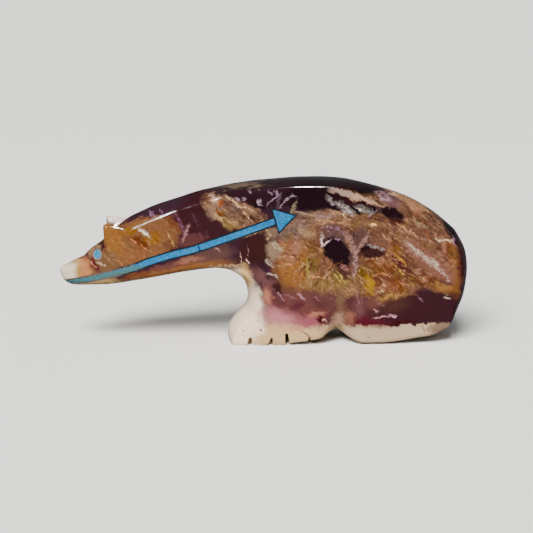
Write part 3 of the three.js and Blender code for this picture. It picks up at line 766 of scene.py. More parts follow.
shell = {
    "ground": "#3a1f2a",
    "gloss": 0.3,
    "roughness": (0.06, 0.15),
    "grainRate": 2.2,
    # how much the fine grain dulls and lifts the colour, in plain and in gold parts
    "dulled": (0.94, 0.8),
    "lifted": (1.06, 1.22),
    "dust": "#8d765c",
    "dustCover": 0.5,
    "dustUp": (1.1, 0.1),            # mm, from no dust to full dust
    "dustGrain": (0.4, 0.62),
    # the bump: how strong and how deep in mm, and what the streaks and the grain give to it
    "relief": 0.25,
    "reliefDepth": 0.05,
    "reliefShares": (0.6, 0.25),
    # loose curls of pale shell, thin lines along the edges of cells
    "curls": {
        "colour": "#c4a690",
        "rate": 0.7,
        "line": (0.09, 0.02),
        "placeRate": 0.6,
        "place": (0.58, 0.72),
        "cover": 0.5,
    },
    # what shakes the rims of the stains: fineness, reach in mm, seed
    "shakes": {
        "fine": (3.4, 0.3, 1.0),
        "broad": (1.1, 0.5, 2.0),
        "wide": (0.35, 0.6, 3.0),
        "splintered": (1.0, 0.6, 4.0),
    },
    "overlap": 1.5,                  # mm, how far outside a length a stain still counts
    # duller patches in the polish: share of the gloss that is lost, middle, half sizes, turn,
    # softness
    "dull": [
        (0.75, 15.5, 22.8, 3.4, 1.1, 19, 0.2),
        (0.98, 25.7, 25.9, 3.7, 1.8, 17, 0.12),
    ],
    "leanFrom": -3.0,                # mm across, where the stains start to lean
    "leanTo": 6.0,
    "lean": 4.5,                     # mm, how far they have moved by there
    # the lengths that the shell is coloured in: where the first starts and where each ends, in
    # mm from the nose
    "bandsFrom": -5,
    "bands": [
        ("shell_head", 15),
        ("shell_neck", 30),
        ("shell_shoulder", 39),
        ("shell_chest", 45),
        ("shell_middle", 50),
        ("shell_belly", 54),
        ("shell_flank", 59),
        ("shell_haunch", 65),
        ("shell_rump", 80),
    ],
    # paints of the shell, as they show under the lamps
    "paints": {
        "ink": "#060606",
        "pitch": "#180808",
        "black plum": "#240c08",
        "dark rust": "#300c08",
        "ox blood": "#480808",
        "dark plum": "#301418",
        "bark": "#401c14",
        "plum": "#401c1c",
        "soft plum": "#40242c",
        "wine": "#64101c",
        "maroon": "#542824",
        "raisin": "#583428",
        "umber": "#5c3c24",
        "russet": "#743810",
        "berry": "#643034",
        "mustard": "#704e0a",
        "rust": "#80400c",
        "brick": "#683e38",
        "ember": "#80481c",
        "cocoa": "#684c44",
        "cinnamon": "#804c2c",
        "saddle": "#744e38",
        "taupe": "#645048",
        "chestnut": "#7c5034",
        "amber": "#945c10",
        "olive": "#785c30",
        "old rose": "#784c44",
        "honey": "#88582a",
        "burnt orange": "#9c5220",
        "rosewood": "#785450",
        "tan": "#7c5a48",
        "mauve": "#745858",
        "bronze": "#846448",
        "old gold": "#8c6242",
        "biscuit": "#806450",
        "gold": "#946640",
        "driftwood": "#786a60",
        "straw": "#8c7046",
        "bright gold": "#9c6c3c",
        "clay": "#8c6454",
        "yellow": "#b07f1d",
        "stone": "#867060",
        "pale gold": "#a07448",
        "pink clay": "#986e5c",
        "raspberry": "#a0626c",
        "sand": "#948070",
        "warm sand": "#a0846c",
        "moss": "#9a8c6a",
        "coral": "#b08070",
        "wheat": "#b49060",
        "apricot": "#bc8c6c",
        "cream": "#b09878",
        "lilac grey": "#a8948c",
        "peach": "#bc947c",
        "rose pink": "#b88a8c",
        "beige": "#b89e90",
        "chalk": "#bcaa9c",
        "bone": "#c8b098",
        "butter": "#d0b290",
        "pearl": "#ccc4bc",
        "blush": "#e0c8b8",
        "ear white": "#d4cccc",
        "shell white": "#dcd0c8",
    },
    # stains, each over the ones before it: what it is, paint, middle along from the nose
    # and up from the soles, half its length and half its height in mm, turn, softness
    "stains": [
        # dark layers of the back and neck
        ("back plum", "dark plum", 38, 29, 14, 3.4, 2, 0.2),
        ("neck plum", "plum", 26.5, 23.5, 5, 6, 25, 0.3),
        ("neck red", "brick", 24.8, 19.4, 2.6, 1.2, 18, 0.5),
        ("chest maroon", "cocoa", 28.5, 16.8, 4, 1.7, 14, 0.5),
        ("chest dark", "bark", 36.6, 18, 2.9, 3.2, -30, 0.4),
        # cheek
        ("cheek gold", "old gold", 15.6, 19, 7.2, 4.3, 22, 0.08),
        ("cheek edge", "bright gold", 10.6, 18.4, 1.8, 3.4, 12, 0.35),
        ("ear root", "bright gold", 9.6, 21, 2.1, 2.2, 0, 0.3),
        ("ridge light", "amber", 13.6, 21.3, 1.8, 0.6, 18, 0.5),
        ("cheek low", "gold", 13.6, 16.5, 3, 1.2, 20, 0.6),
        ("cheek bright", "amber", 17.6, 19.7, 1.7, 1.2, 25, 0.5),
        ("cheek rough", "russet", 15.4, 19.1, 2.1, 0.6, -38, 0.4),
        ("cheek brown", "chestnut", 21, 18.7, 1.5, 1, 20, 0.5),
        ("cheek orange", "cinnamon", 21.7, 22.4, 1.9, 0.7, -56, 0.4),
        # jaw
        ("jaw cream", "cream", 7.5, 11.3, 4, 0.9, 6, 0.4),
        ("jaw ochre", "gold", 20, 12.8, 12, 1.3, 13, 0.3),
        ("jaw red", "cinnamon", 15, 13.2, 3, 0.5, 13, 0.5),
        ("jaw rust", "old rose", 20.3, 14.6, 3.2, 0.55, 14, 0.5),
        ("throat mauve", "pink clay", 24.4, 15.9, 2.6, 0.6, 12, 0.6),
        # face
        ("face brown", "bronze", 8.4, 14.8, 2.9, 2.5, 12, 0.25),
        ("muzzle white", "pearl", 0.9, 13.6, 3.6, 4.2, 0, 0.12),
        ("muzzle cream", "wheat", 3.9, 13.4, 0.9, 2.6, 6, 0.9),
        ("muzzle peach", "apricot", 5.1, 13.6, 1.1, 2.1, 12, 0.8),
        ("muzzle rust", "wine", 6.8, 14.6, 1.6, 0.6, -57, 0.6),
        ("brow grey", "warm sand", 6.9, 17.7, 1.6, 0.8, 48, 0.4),
        ("brow dark", "ox blood", 8.3, 18.4, 0.55, 0.3, 20, 0.4),
        ("eye rim", "stone", 7.3, 16.5, 0.9, 1.15, 0, 0.3),
        # main body
        ("body gold", "saddle", 57.3, 17.3, 17, 8.8, 0, 0.05),
        ("haunch tan", "tan", 64.5, 24.2, 8.5, 4.4, -35, 0.1),
        ("left gold", "bright gold", 44, 14.5, 3.7, 4.4, 0, 0.5),
        ("left pink", "pink clay", 43, 18.3, 1.9, 2.5, 0, 0.5),
        ("left orange", "gold", 42, 18.6, 1, 0.8, 0, 0.5),
        ("shoulder tan", "driftwood", 43.6, 21.6, 3, 1.9, 10, 0.4),
        ("shoulder ochre", "warm sand", 46.2, 20.8, 1.3, 1, 0, 0.5),
        ("middle olive", "olive", 46.8, 14.8, 1.2, 2.6, 8, 0.5),
        ("middle straw", "straw", 48.4, 11.2, 3.4, 1.3, -4, 0.5),
        ("low straw", "straw", 52.6, 11.2, 2.8, 2.1, -12, 0.5),
        ("streaky tan", "stone", 48.6, 24, 5.2, 1.1, -2, 0.4),
        ("top gold", "bronze", 55, 22.9, 5.6, 1.2, -3, 0.4),
        ("top ochre", "umber", 56.4, 27.3, 4.8, 1.3, -14, 0.3),
        ("lilac band", "beige", 55.6, 27, 5.2, 0.55, -18, 0.45),
        ("haunch mauve", "mauve", 61.3, 26.6, 1.9, 1, -38, 0.5),
        ("haunch rim", "blush", 63.2, 27.7, 2.6, 0.7, -28, 0.5),
        ("right gold", "honey", 61.6, 17.6, 2, 1.5, -20, 0.5),
        ("right orange", "ember", 59.6, 14.9, 2.6, 1.4, -10, 0.5),
        ("right rust", "ox blood", 63, 15, 2.6, 0.9, -48, 0.5),
        ("cream corner", "mustard", 56.1, 13.4, 1.1, 1.3, 10, 0.5),
        ("yellow", "yellow", 57.4, 11.2, 1, 1.8, 8, 0.5),
        ("pink swirl", "cinnamon", 59.5, 11.7, 1.1, 1.7, 0, 0.4),
        ("low orange", "rust", 62.3, 10.8, 2.1, 1.7, 0, 0.5),
        ("low brown", "russet", 67.5, 11.9, 2.4, 1.1, -8, 0.5),
        ("green fringe", "wheat", 62, 8.7, 3.6, 0.8, 6, 0.5),
        ("green fringe right", "pale gold", 71.5, 10.1, 2.6, 0.9, -18, 0.5),
        ("haunch pink", "tan", 69, 19.4, 3.4, 2.2, -41, 0.5),
        ("haunch light", "peach", 65.2, 26.7, 3.6, 1.2, -33, 0.4),
        ("haunch rust", "umber", 66.3, 23, 3, 0.6, -40, 0.5),
        ("rump brown", "maroon", 70.7, 17, 0.8, 1.6, 14, 0.5),
        ("rump orange", "russet", 71.8, 18, 1, 1.2, -10, 0.5),
        ("rump stripe", "honey", 72.9, 13.8, 0.9, 4.4, 7, 0.4),
        # oval patch on the shoulder
        ("oval", "biscuit", 32.9, 24.6, 6.2, 2.5, -23, 0.1),
        ("oval rim", "sand", 29.3, 25.3, 1.1, 1.9, -20, 0.5),
        ("oval yellow", "stone", 29.1, 24.5, 0.8, 1.2, -10, 0.5),
        ("oval rose", "cream", 30.2, 23.6, 1.6, 0.5, -48, 0.5),
        ("oval ochre", "straw", 32, 22.6, 1.4, 0.8, -14, 0.5),
        ("oval orange", "burnt orange", 30.3, 26.4, 0.5, 0.9, 14, 0.5),
        ("oval orange low", "rust", 30, 24.7, 1, 0.35, -40, 0.5),
        ("oval grey", "taupe", 32.6, 25.7, 1.2, 0.8, -20, 0.5),
        ("oval brown", "dark rust", 35.2, 23.8, 1.5, 0.5, -16, 0.5),
    ],
    # the same for the stains, and the painted shade and sheen, that lie over the streaks of growth
    "overStains": [
        ("nape plum", "soft plum", 18.8, 26.7, 7.6, 2.55, 19, 0.12),
        ("back black", "pitch", 47.5, 27.5, 5.6, 2.5, -2, 0.25),
        ("pocket edge", "cocoa", 50.8, 20.3, 2.5, 1.8, -14, 0.35),
        ("pocket one", "pitch", 51.6, 17.2, 3.4, 2.05, -55, 0.22),
        ("pocket mauve", "cocoa", 56.2, 20.1, 1.3, 1.9, 10, 0.4),
        ("pocket bridge", "cocoa", 54.6, 17.6, 0.9, 3.6, 2, 0.4),
        ("pocket two", "bark", 57.8, 17.3, 2.5, 1, 6, 0.35),
        ("pocket two top", "black plum", 56.4, 18.4, 0.9, 0.9, -30, 0.4),
        ("island", "tan", 59.2, 18.9, 1.8, 1.2, -6, 0.4),
        ("grey slant", "clay", 67.5, 16, 5.4, 1.5, -41, 0.5),
        ("rose", "clay", 70.9, 13.5, 2.3, 1.3, -48, 0.5),
        ("crystal ground", "ink", 54.8, 25.5, 4.8, 1.05, -9, 0.35),
        ("spot", "pitch", 61.2, 24.5, 2.3, 1, -24, 0.25),
        ("top plum", "ink", 56.2, 28.7, 2.6, 0.6, -14, 0.4),
        ("dark under lilac", "dark rust", 54.8, 26.3, 3.7, 0.5, -12, 0.4),
        ("crown dark", "black plum", 53, 30.4, 9.2, 1.4, -7, 0.25),
        ("crown end", "pitch", 58.4, 28.9, 2.6, 0.55, -15, 0.3),
        ("rump shade", "black plum", 73.9, 18.5, 0.8, 2.4, 8, 0.4),
        ("rump edge", "chestnut", 74.3, 12.7, 0.7, 2, 6, 0.5),
        ("band corner", "honey", 73.2, 8.8, 1.4, 1.1, 0, 0.5),
        ("arch gold", "gold", 60.5, 7.8, 1.2, 0.9, 0, 0.6),
        ("band start", "lilac grey", 52.2, 28.2, 2.2, 0.65, -15, 0.4),
        ("dark step", "pitch", 50.9, 25.7, 1.7, 0.7, -18, 0.4),
        ("shoulder edge", "sand", 39.9, 17.7, 1.2, 1.8, 8, 0.5),
        ("arrow tan", "stone", 39.7, 21, 1.4, 1, 0, 0.5),
        ("pocket foot", "raisin", 52.9, 13.4, 1.2, 1, 0, 0.6),
        ("under spot", "bark", 61.9, 23, 1.4, 0.7, -20, 0.6),
        ("oval shade", "black plum", 36.6, 26.2, 1.6, 0.7, -25, 0.4),
        ("oval white", "beige", 29, 27.2, 0.75, 0.55, -20, 0.4),
        ("hind maroon", "maroon", 56.4, 5.9, 5.2, 2.6, -3, 0.5),
        ("hind dark", "plum", 67.3, 6.8, 8, 3.1, 4, 0.22),
        ("leg maroon", "old rose", 46.2, 7.4, 7, 2.7, -5, 0.5),
        ("leg lilac", "old rose", 42.6, 8.9, 1.7, 0.8, -15, 0.8),
        ("leg plum", "brick", 41.1, 7.7, 0.9, 0.8, 0, 0.6),
        ("leg plum middle", "berry", 44.2, 7.5, 1.3, 0.7, 20, 0.7),
        ("leg plum right", "brick", 48.6, 7.9, 1.5, 0.9, -10, 0.6),
        ("vein pink", "rosewood", 55.7, 6.9, 0.9, 2.3, 0, 0.8),
        ("hind rose", "old rose", 57.9, 7.7, 1.3, 1.1, 0, 0.9),
        ("hind plum", "raisin", 62.4, 7.3, 2.2, 1.2, 18, 0.9),
        ("white base", "chalk", 56, -80, 200, 83.7, 1, 0.002),
        ("foot white", "bone", 42.5, 2.4, 7.6, 2.2, -2, 0.6),
        ("leg cream", "cream", 33.9, 13.3, 1.8, 1.5, 35, 0.6),
        ("leg white", "shell white", 33.4, 5.6, 4.5, 8.3, 3, 0.22),
        ("leg grey", "butter", 34.9, 12.6, 1, 2.2, 14, 0.6),
        ("leg peach", "coral", 38.7, 9.3, 0.7, 1.6, 6, 0.8),
        ("leg mauve", "rosewood", 38.6, 12, 3.6, 0.8, -42, 0.6),
        ("leg dark", "bark", 40.6, 10.7, 1.1, 0.8, -42, 0.5),
        ("foot pink", "rose pink", 41, 5, 3.4, 1.5, -18, 0.9),
        ("foot rose", "raspberry", 46.4, 4.3, 2.8, 1.1, -4, 0.9),
        ("foot peach", "coral", 47.6, 5.7, 1.6, 0.5, 6, 0.7),
        ("foot red", "ox blood", 48.4, 4.7, 0.9, 0.8, 0, 0.8),
        ("foot brown red", "old rose", 46.2, 7.5, 0.9, 1.3, 0, 0.5),
        ("foot yellow", "bone", 37.6, 1.1, 1.7, 0.9, 0, 0.9),
        ("hind edge", "wine", 57, 4.1, 3.6, 0.8, -2, 0.9),
        ("hind edge red", "ox blood", 64, 4.4, 2.4, 0.35, 3, 0.5),
        # painted shade: the white base greyer where its facet turns down at the back
        ("painted shade on the hind facet", "sand", 70.3, 3, 2.3, 0.7, 14, 0.5),
        ("arch pink", "pink clay", 53.8, 5, 0.9, 1.4, 0, 0.7),
        # painted shade: the scooped arch greyed to beige
        ("painted shade in the arch scoop", "beige", 51.6, 3.6, 1.2, 2.4, -6, 0.6),
        ("arch olive", "moss", 51.7, 2.7, 0.9, 0.7, 0, 0.8),
        # painted shade: the shallow groove above the arch tinted a lighter brown
        ("groove", "biscuit", 52.1, 8, 0.8, 2, 0, 0.7),
        # painted sheen: pale bands along the top rim of the back
        ("painted rim sheen beige", "sand", 35, 29.5, 4.6, 0.4, 8, 0.6),
        ("painted rim sheen grey", "apricot", 46, 31, 6.8, 0.35, -1, 0.5),
        # painted shade: dark along the rump's rounded edge, where the surface turns away
        ("painted rump edge shade", "ink", 75.3, 21.8, 6.5, 3.6, -60, 0.16),
        ("painted rump edge shade low", "ox blood", 78, 15, 4.1, 11, 10, 0.14),
    ],
    "farEar": ("far ear", "ear white", 15.4, 22.6, 3.4, 1.5, 6, 0.3),
    # where the gold parts lie, and the parts of them whose streaks stand up or lie level, as
    # middle, half sizes, turn and softness
    "goldPart": (57.5, 17.5, 17.5, 9.5, 0, 0.1),
    "ovalPart": (33, 24.6, 6.2, 2.6, -23, 0.15),
    "cheekPart": (16, 19.3, 7.4, 4.1, 24, 0.1),
    "cheekGrain": 0.35,
    "uprightPart": (47, 13, 4.5, 4, 0, 0.4),
    "levelPart": (50, 23.6, 8, 1.8, 0, 0.4),
    # streaks of growth: turn, how far they run along and across, curl, seed
    "slanted": (-38, 0.55, 1.5, 0.9, 3.0),
    "upright": (78, 0.6, 1.7, 0.8, 11.0),
    "level": (-4, 0.45, 2.1, 0.6, 17.0),
    # clouds of tint in the gold parts: from and to in the cloud, cover, colour
    "clouds": [
        (0.52, 0.66, 0.4, "#a8806c"),
        (0.48, 0.34, 0.45, "#8a6424"),
    ],
    # streaks of growth in the gold parts: from and to in the cloud of streaks, cover, colour
    "streaks": [
        (0.5, 0.34, 0.65, "#6c4430"),
        (0.46, 0.33, 0.5, "#4e2a20"),
        (0.5, 0.62, 0.5, "#a4826e"),
        (0.58, 0.72, 0.5, "#c6ab92"),
    ],
    # strokes of pale and dark growth lines and painted highlights on the left flank: what it is,
    # colour, from and to along and up in mm, width
    "strokes": [
        ("ridge lilac", "#a48c9c", 17.2, 24.3, 18, 23.8, 0.4),
        ("ridge lilac 2", "#a48c9c", 19, 24.9, 19.6, 24.5, 0.3),
        ("collar lilac", "#8a6270", 22, 24.4, 23.8, 20.9, 0.7),
        ("collar faint", "#6a4854", 25, 24.6, 26, 22.5, 0.5),
        ("collar fleck", "#b09090", 24.3, 22, 23.2, 19.5, 0.7),
        ("collar dash", "#7c5a64", 26.3, 21.2, 26.7, 19.8, 0.3),
        ("collar dash 2", "#7c5a64", 27.6, 21.6, 28, 20, 0.2),
        ("cheek vein", "#c8ac80", 20.4, 21, 21.3, 19.3, 0.16),
        ("cheek vein low", "#c8ac80", 21.3, 19.3, 22.3, 18, 0.16),
        ("cheek white", "#d4cac6", 15.2, 21.6, 17.1, 20, 0.6),
        ("cheek white eye", "#8a8078", 16.1, 21.3, 16.7, 20.9, 0.3),
        ("cheek pink", "#d89a78", 13.7, 19.6, 14.6, 18.9, 0.35),
        ("cheek pink 2", "#d89a78", 15.3, 18.9, 16.6, 17.7, 0.3),
        # painted highlights: pale glints on the face crease, by the eye and on the muzzle
        ("face crease", "#b48c78", 8.6, 16.9, 10.2, 15.1, 0.25),
        ("face light", "#e2ccc0", 7.7, 15.1, 8.6, 14.6, 0.4),
        ("muzzle streak", "#cc9c88", 5.9, 15.4, 7.1, 14.1, 0.14),
        ("chest fleck", "#c0a8a4", 29.2, 18.3, 30.1, 17.7, 0.4),
        ("chest line", "#c0aaa4", 33.7, 17.2, 34.2, 14.9, 0.25),
        ("chest dot", "#e0d0cc", 35, 15.9, 35.4, 15.5, 0.4),
        ("chest thin", "#a08890", 35.1, 18.5, 35.3, 16.6, 0.15),
        ("chest beige", "#b8a088", 28, 14.5, 34, 15.1, 0.6),
        ("heart beige", "#b09c84", 34.8, 20.4, 37.4, 21.4, 0.4),
        ("swirl", "#b0987c", 38.2, 21.8, 39.3, 20.6, 0.3),
        ("swirl 2", "#c0a88c", 39.3, 20.6, 38.6, 19.7, 0.3),
        ("white patch", "#b4a896", 39.8, 18.9, 41.3, 18.1, 1),
        ("white curl", "#b0a49c", 38.7, 15.9, 39.8, 14.7, 0.6),
        ("white curl low", "#c8bcb4", 38.7, 13.4, 39.8, 13.2, 0.35),
        ("white curl end", "#bcb0a8", 39.8, 13.2, 40.6, 12.6, 0.3),
        ("leg curl", "#a88a90", 40.2, 10.4, 41.6, 8.7, 0.3),
        ("leg curl 2", "#a08088", 41.9, 9.6, 43.6, 9, 0.35),
        ("leg curl 3", "#b09098", 44.2, 9.9, 45.4, 8.7, 0.45),
        ("leg curl 4", "#98707a", 47.4, 9, 48.4, 8.3, 0.35),
        # painted highlights: two glints on the rounded back of the front foot
        ("foot dot", "#d4b4a8", 48.9, 4.8, 49.4, 4.5, 0.4),
        ("foot dot low", "#d8ccb8", 49.1, 3.7, 49.6, 3.4, 0.4),
        ("tan line", "#b8865c", 47.9, 13.4, 51.9, 15.5, 0.2),
        ("pink line", "#c89c80", 46.6, 12.9, 48.9, 12.7, 0.35),
        ("pink ring", "#b08884", 52.3, 14.7, 53.2, 14.1, 0.8),
        ("pink ring eye", "#4a2028", 52.6, 14.5, 52.9, 14.3, 0.3),
        ("ochre ring", "#c09468", 47.2, 17, 48.6, 17.6, 0.35),
        ("white Y stem", "#cfc0c0", 48.7, 20.6, 48.6, 18.6, 0.5),
        ("white Y arm", "#cfc0c0", 48.6, 18.6, 50.1, 19.4, 0.35),
        ("pocket arc", "#a08890", 48.5, 22, 51.2, 21.9, 0.35),
        ("pocket arc 2", "#a08890", 51.2, 21.9, 53.7, 19.8, 0.35),
        ("pocket fleck", "#a08c98", 49.6, 21.3, 50.4, 20.9, 0.3),
        ("pocket fleck 2", "#a08c98", 51.2, 19.8, 52, 19.5, 0.35),
        ("vein top", "#9c8074", 53.2, 20.6, 54.7, 17.2, 1.2),
        ("vein", "#a48a80", 57.2, 20.9, 54.9, 17, 0.6),
        ("vein low", "#a48a84", 54.8, 17.2, 54.5, 12.8, 0.85),
        ("vein foot", "#966a70", 55.4, 10.3, 55.2, 7.4, 0.3),
        ("grey fleck", "#a09c9c", 57.4, 18.5, 59.9, 17.7, 0.55),
        ("light diagonal", "#c0b078", 50.6, 13.8, 52.2, 11.8, 0.3),
        ("light diagonal 2", "#c0b078", 51.6, 13.7, 53.2, 11.3, 0.3),
        ("olive upright", "#b8a25c", 46, 16.4, 46.2, 12.6, 0.25),
        ("olive upright dark", "#6e5428", 47, 16.2, 47.3, 13.1, 0.25),
        ("left stroke", "#d0a080", 41.9, 16.7, 44.2, 16.3, 0.3),
        ("left stroke 2", "#9a5c34", 41.8, 14.6, 44.8, 15.4, 0.25),
        ("left stroke 3", "#d0a080", 42, 15.2, 43.2, 15, 0.3),
        ("band lilac", "#a48c90", 47.4, 24.1, 50.2, 23.9, 0.4),
        ("band pale", "#ac9a8c", 43.4, 24.9, 46.5, 24.4, 0.3),
        ("crystal left", "#a39e9c", 49.7, 27.5, 50.6, 26.4, 0.8),
        ("crystal", "#b6aeac", 51.9, 26.1, 53.9, 24.6, 1.35),
        ("crystal eye", "#4a3438", 52.7, 25.6, 53.1, 25.3, 0.35),
        ("crystal tip", "#c8b8a8", 52.5, 24.5, 52.8, 23.9, 0.4),
        ("crystal middle", "#93928c", 55.3, 25.6, 57.2, 25, 1.1),
        ("crystal dot", "#d0c4bc", 55.2, 25.4, 55.6, 25.1, 0.4),
        ("crystal right", "#a89498", 57.3, 24.2, 58.7, 25, 0.5),
        ("cream dot", "#e0c0a0", 57.6, 22.4, 58.3, 22.2, 0.35),
        ("dark bit", "#3a2018", 52.9, 21.7, 53.6, 21.5, 0.4),
        ("dark bit 2", "#2c1416", 54.2, 20.9, 54.9, 20.5, 0.9),
        ("dark bit 3", "#3a2018", 57.6, 23.9, 59, 23.3, 0.5),
        ("ring top", "#b8a0a4", 59.1, 27.7, 60.7, 27, 1.1),
        ("ring eye", "#3a2028", 59.6, 27.6, 60.2, 27.2, 0.5),
        ("back dot", "#a898a4", 33.1, 27.4, 33.6, 27.1, 0.45),
        ("back dot 2", "#a898a4", 34.4, 27.5, 34.8, 27.2, 0.4),
        ("back dot 3", "#9a8a94", 35.3, 28.7, 35.9, 28.5, 0.4),
        ("back dot 4", "#c8bcc4", 37, 26.8, 37.5, 26.3, 0.5),
        ("back dot 5", "#c0b4bc", 37.5, 27.2, 37.8, 26.8, 0.35),
        ("back dot 6", "#a898a4", 39, 28.6, 39.5, 28, 0.45),
        ("back dot 7", "#a898a4", 40.3, 28.5, 40.7, 28, 0.45),
        ("wisp", "#8a7c84", 38.5, 25.9, 39.8, 27.1, 0.25),
        ("wisp 2", "#a89ca4", 39.8, 27.1, 41.2, 28.4, 0.25),
        ("wisp fan", "#6e6066", 40.6, 25.8, 41, 28.3, 0.6),
        ("wisp streak", "#a89ca0", 41.2, 25.9, 43, 27.8, 0.35),
        ("wisp end", "#a89ca0", 43, 27.8, 44, 27.5, 0.3),
        ("beige clump", "#9c9280", 43, 24.4, 43.9, 26.4, 0.7),
        ("oval edge", "#c8b4a0", 31.4, 27.6, 33.6, 26, 0.45),
        ("oval edge 2", "#b8a090", 33.6, 26, 36.6, 24.9, 0.35),
        ("oval curl", "#d0b4a0", 34.3, 24.9, 35.7, 23.3, 0.3),
        ("oval curl 2", "#c8a890", 33, 26.8, 35, 25.3, 0.3),
        ("swoosh", "#c8a8b0", 58.4, 5, 61.3, 5.5, 0.22),
        ("swoosh end", "#c8a8b0", 61, 5.6, 62.2, 5.2, 0.35),
        ("hind fleck", "#c8b0b4", 58.4, 6.5, 58.8, 6.2, 0.35),
        ("hind fleck 2", "#b098a0", 59.2, 7.7, 59.9, 7.5, 0.4),
        ("hind lilac", "#90707a", 66.3, 9, 67.1, 8.2, 0.5),
        ("hind white curl", "#d8ccc8", 71.3, 8.7, 72.1, 8.5, 0.3),
        ("hind olive spot", "#5a4a20", 71.3, 9.5, 71.7, 9, 0.5),
        ("rump lilac", "#b098a8", 72.7, 20, 72.9, 18.6, 0.3),
        ("pink line right", "#c88c6c", 58.2, 13, 59.6, 13.4, 0.3),
        ("pink line right 2", "#c88c6c", 59.6, 13.4, 61.2, 12.6, 0.25),
        ("rust stroke", "#6e3420", 61.6, 17.6, 63.4, 15.8, 0.5),
        ("rust stroke 2", "#6e3420", 62.6, 15.9, 64.8, 13.4, 0.45),
        ("rust stroke 3", "#7a3c22", 61, 14.3, 63.2, 11.9, 0.35),
        ("rust stroke 4", "#7a3c22", 60.8, 16.4, 62.2, 14.6, 0.4),
        ("gold stroke", "#c8964c", 62, 17, 64, 14.9, 0.4),
        ("gold stroke 2", "#c89a5c", 61.6, 15.3, 63.6, 13, 0.35),
        ("grey grain", "#ab9c92", 64.4, 18.5, 70.5, 13.8, 1.1),
        ("white slant", "#b9aba2", 64, 19.3, 66.8, 16.8, 0.45),
        ("white slant 2", "#b9aba2", 66.4, 17.6, 68.4, 15.4, 0.4),
        ("white slant 3", "#c0b2aa", 68.8, 15.9, 70, 14.4, 0.6),
        ("white slant 4", "#b8a49e", 69.4, 14.6, 72.2, 11.7, 0.4),
        ("haunch stroke", "#8a4c28", 60.6, 23.4, 63.4, 22.4, 0.25),
        ("haunch stroke 2", "#8a4c28", 64.6, 25.2, 67.4, 22.6, 0.3),
        ("haunch stroke 3", "#c8a088", 62.4, 22.6, 66, 20.2, 0.3),
        ("haunch stroke 4", "#8a4c28", 66.6, 21.8, 69, 19.2, 0.3),
        ("haunch stroke 5", "#c8a890", 66.4, 26.3, 69.2, 23.6, 0.3),
        ("haunch dark", "#5a3424", 68.6, 24.5, 69.6, 23.5, 0.5),
        ("haunch grey", "#8e8878", 66.3, 22.6, 67.6, 21.6, 0.6),
        # painted highlight: a glint near the rump's rim
        ("haunch white", "#dccabc", 69.6, 19.5, 72.4, 19.2, 0.35),
        ("foot crack", "#7a5a40", 45, 2.7, 46.2, 1.9, 0.16),
        ("hind crack", "#7a6650", 67, 3.6, 67.6, 2.2, 0.14),
    ],
}


def reachFrom(tree, where, along, up, halfLong, halfTall, turn):
    # how far out a place lies from the middle of an ellipse, whose rim is at 1
    if turn:
        local = node(
            tree,
            "Mapping",
            {
                "Vector": where,
                "Location": (along, up, 0),
                "Rotation": (0, 0, math.radians(turn)),
                "Scale": (halfLong, halfTall, 1),
            },
            vector_type="TEXTURE",
        ).outputs[0]
    else:
        local = node(
            tree,
            "VectorMath",
            {0: where, 1: (1 / halfLong, 1 / halfTall, 0), 2: (-along / halfLong, -up / halfTall, 0)},
            operation="MULTIPLY_ADD",
        ).outputs[0]
    return node(tree, "VectorMath", {0: local}, operation="LENGTH").outputs["Value"]


def patchMask(tree, where, along, up, halfLong, halfTall, turn, soft):
    return ramp(tree, reachFrom(tree, where, along, up, halfLong, halfTall, turn), 1 + soft, 1 - soft)


def stain(tree, ground, where, colour, shape, share=None):
    cover = patchMask(tree, where, *shape)
    if share:
        cover = calc(tree, "MULTIPLY", cover, share)
    return mixColour(tree, cover, ground, colour)


def strokeShape(fromAlong, fromUp, toAlong, toUp, width, soft=0.45):
    run = Vector((toAlong - fromAlong, toUp - fromUp))
    middle = ((fromAlong + toAlong) / 2, (fromUp + toUp) / 2)
    turn = math.degrees(math.atan2(run.y, run.x))
    return (*middle, run.length / 2 + width / 2, width / 2, turn, soft)


def moved(tree, where, inMm, rate, reach, seed):
    # shakes a place in the side view by a cloud of the given fineness
    cloud = node(
        tree,
        "TexNoise",
        {"Vector": inMm, "W": seed, "Scale": rate, "Detail": 1.0},
        noise_dimensions="4D",
    )
    shaken = node(
        tree,
        "VectorMath",
        {0: cloud.outputs["Color"], 1: (2 * reach, 2 * reach, 0), 2: (-reach, -reach, 0)},
        operation="MULTIPLY_ADD",
    )
    return node(tree, "VectorMath", {0: where, 1: shaken.outputs[0]}, operation="ADD").outputs[0]


def layAlong(tree, where, turn, longRate, crossRate):
    # places stretched along a slant, for clouds drawn out into streaks
    return node(
        tree,
        "Mapping",
        {"Vector": where, "Rotation": (0, 0, math.radians(turn)),
         "Scale": (1 / longRate, 1 / crossRate, 1 / crossRate)},
        vector_type="TEXTURE",
    ).outputs[0]


def splinters(tree, where, turn, longRate, crossRate, curl, seed):
    # short streaks of growth, lying along one slant
    laid = layAlong(tree, where, turn, longRate, crossRate)
    return node(
        tree,
        "TexNoise",
        {"Vector": laid, "W": seed, "Scale": 1.0, "Detail": 3.0, "Roughness": 0.6, "Distortion": curl},
        noise_dimensions="4D",
    ).outputs["Fac"]


def reachesBand(shape, band):
    along, up, halfLong, halfTall, turn, soft = shape
    turn = math.radians(turn)
    reach = math.hypot(halfLong * math.cos(turn), halfTall * math.sin(turn)) * (1 + soft)
    reach += shell["overlap"]
    return along + reach > band[0] and along - reach < band[1] + shell["lean"]


def placesInMm(tree):
    # places on the piece in mm, and along from the nose
    coords = node(tree, "TexCoord").outputs["Object"]
    inMm = node(tree, "VectorMath", {0: coords, "Scale": 1 / mm}, operation="SCALE").outputs[0]
    fromMiddle, across, up = node(tree, "SeparateXYZ", {0: inMm}).outputs[:3]
    along = calc(tree, "ADD", fromMiddle, length / 2)
    return inMm, along, across, up


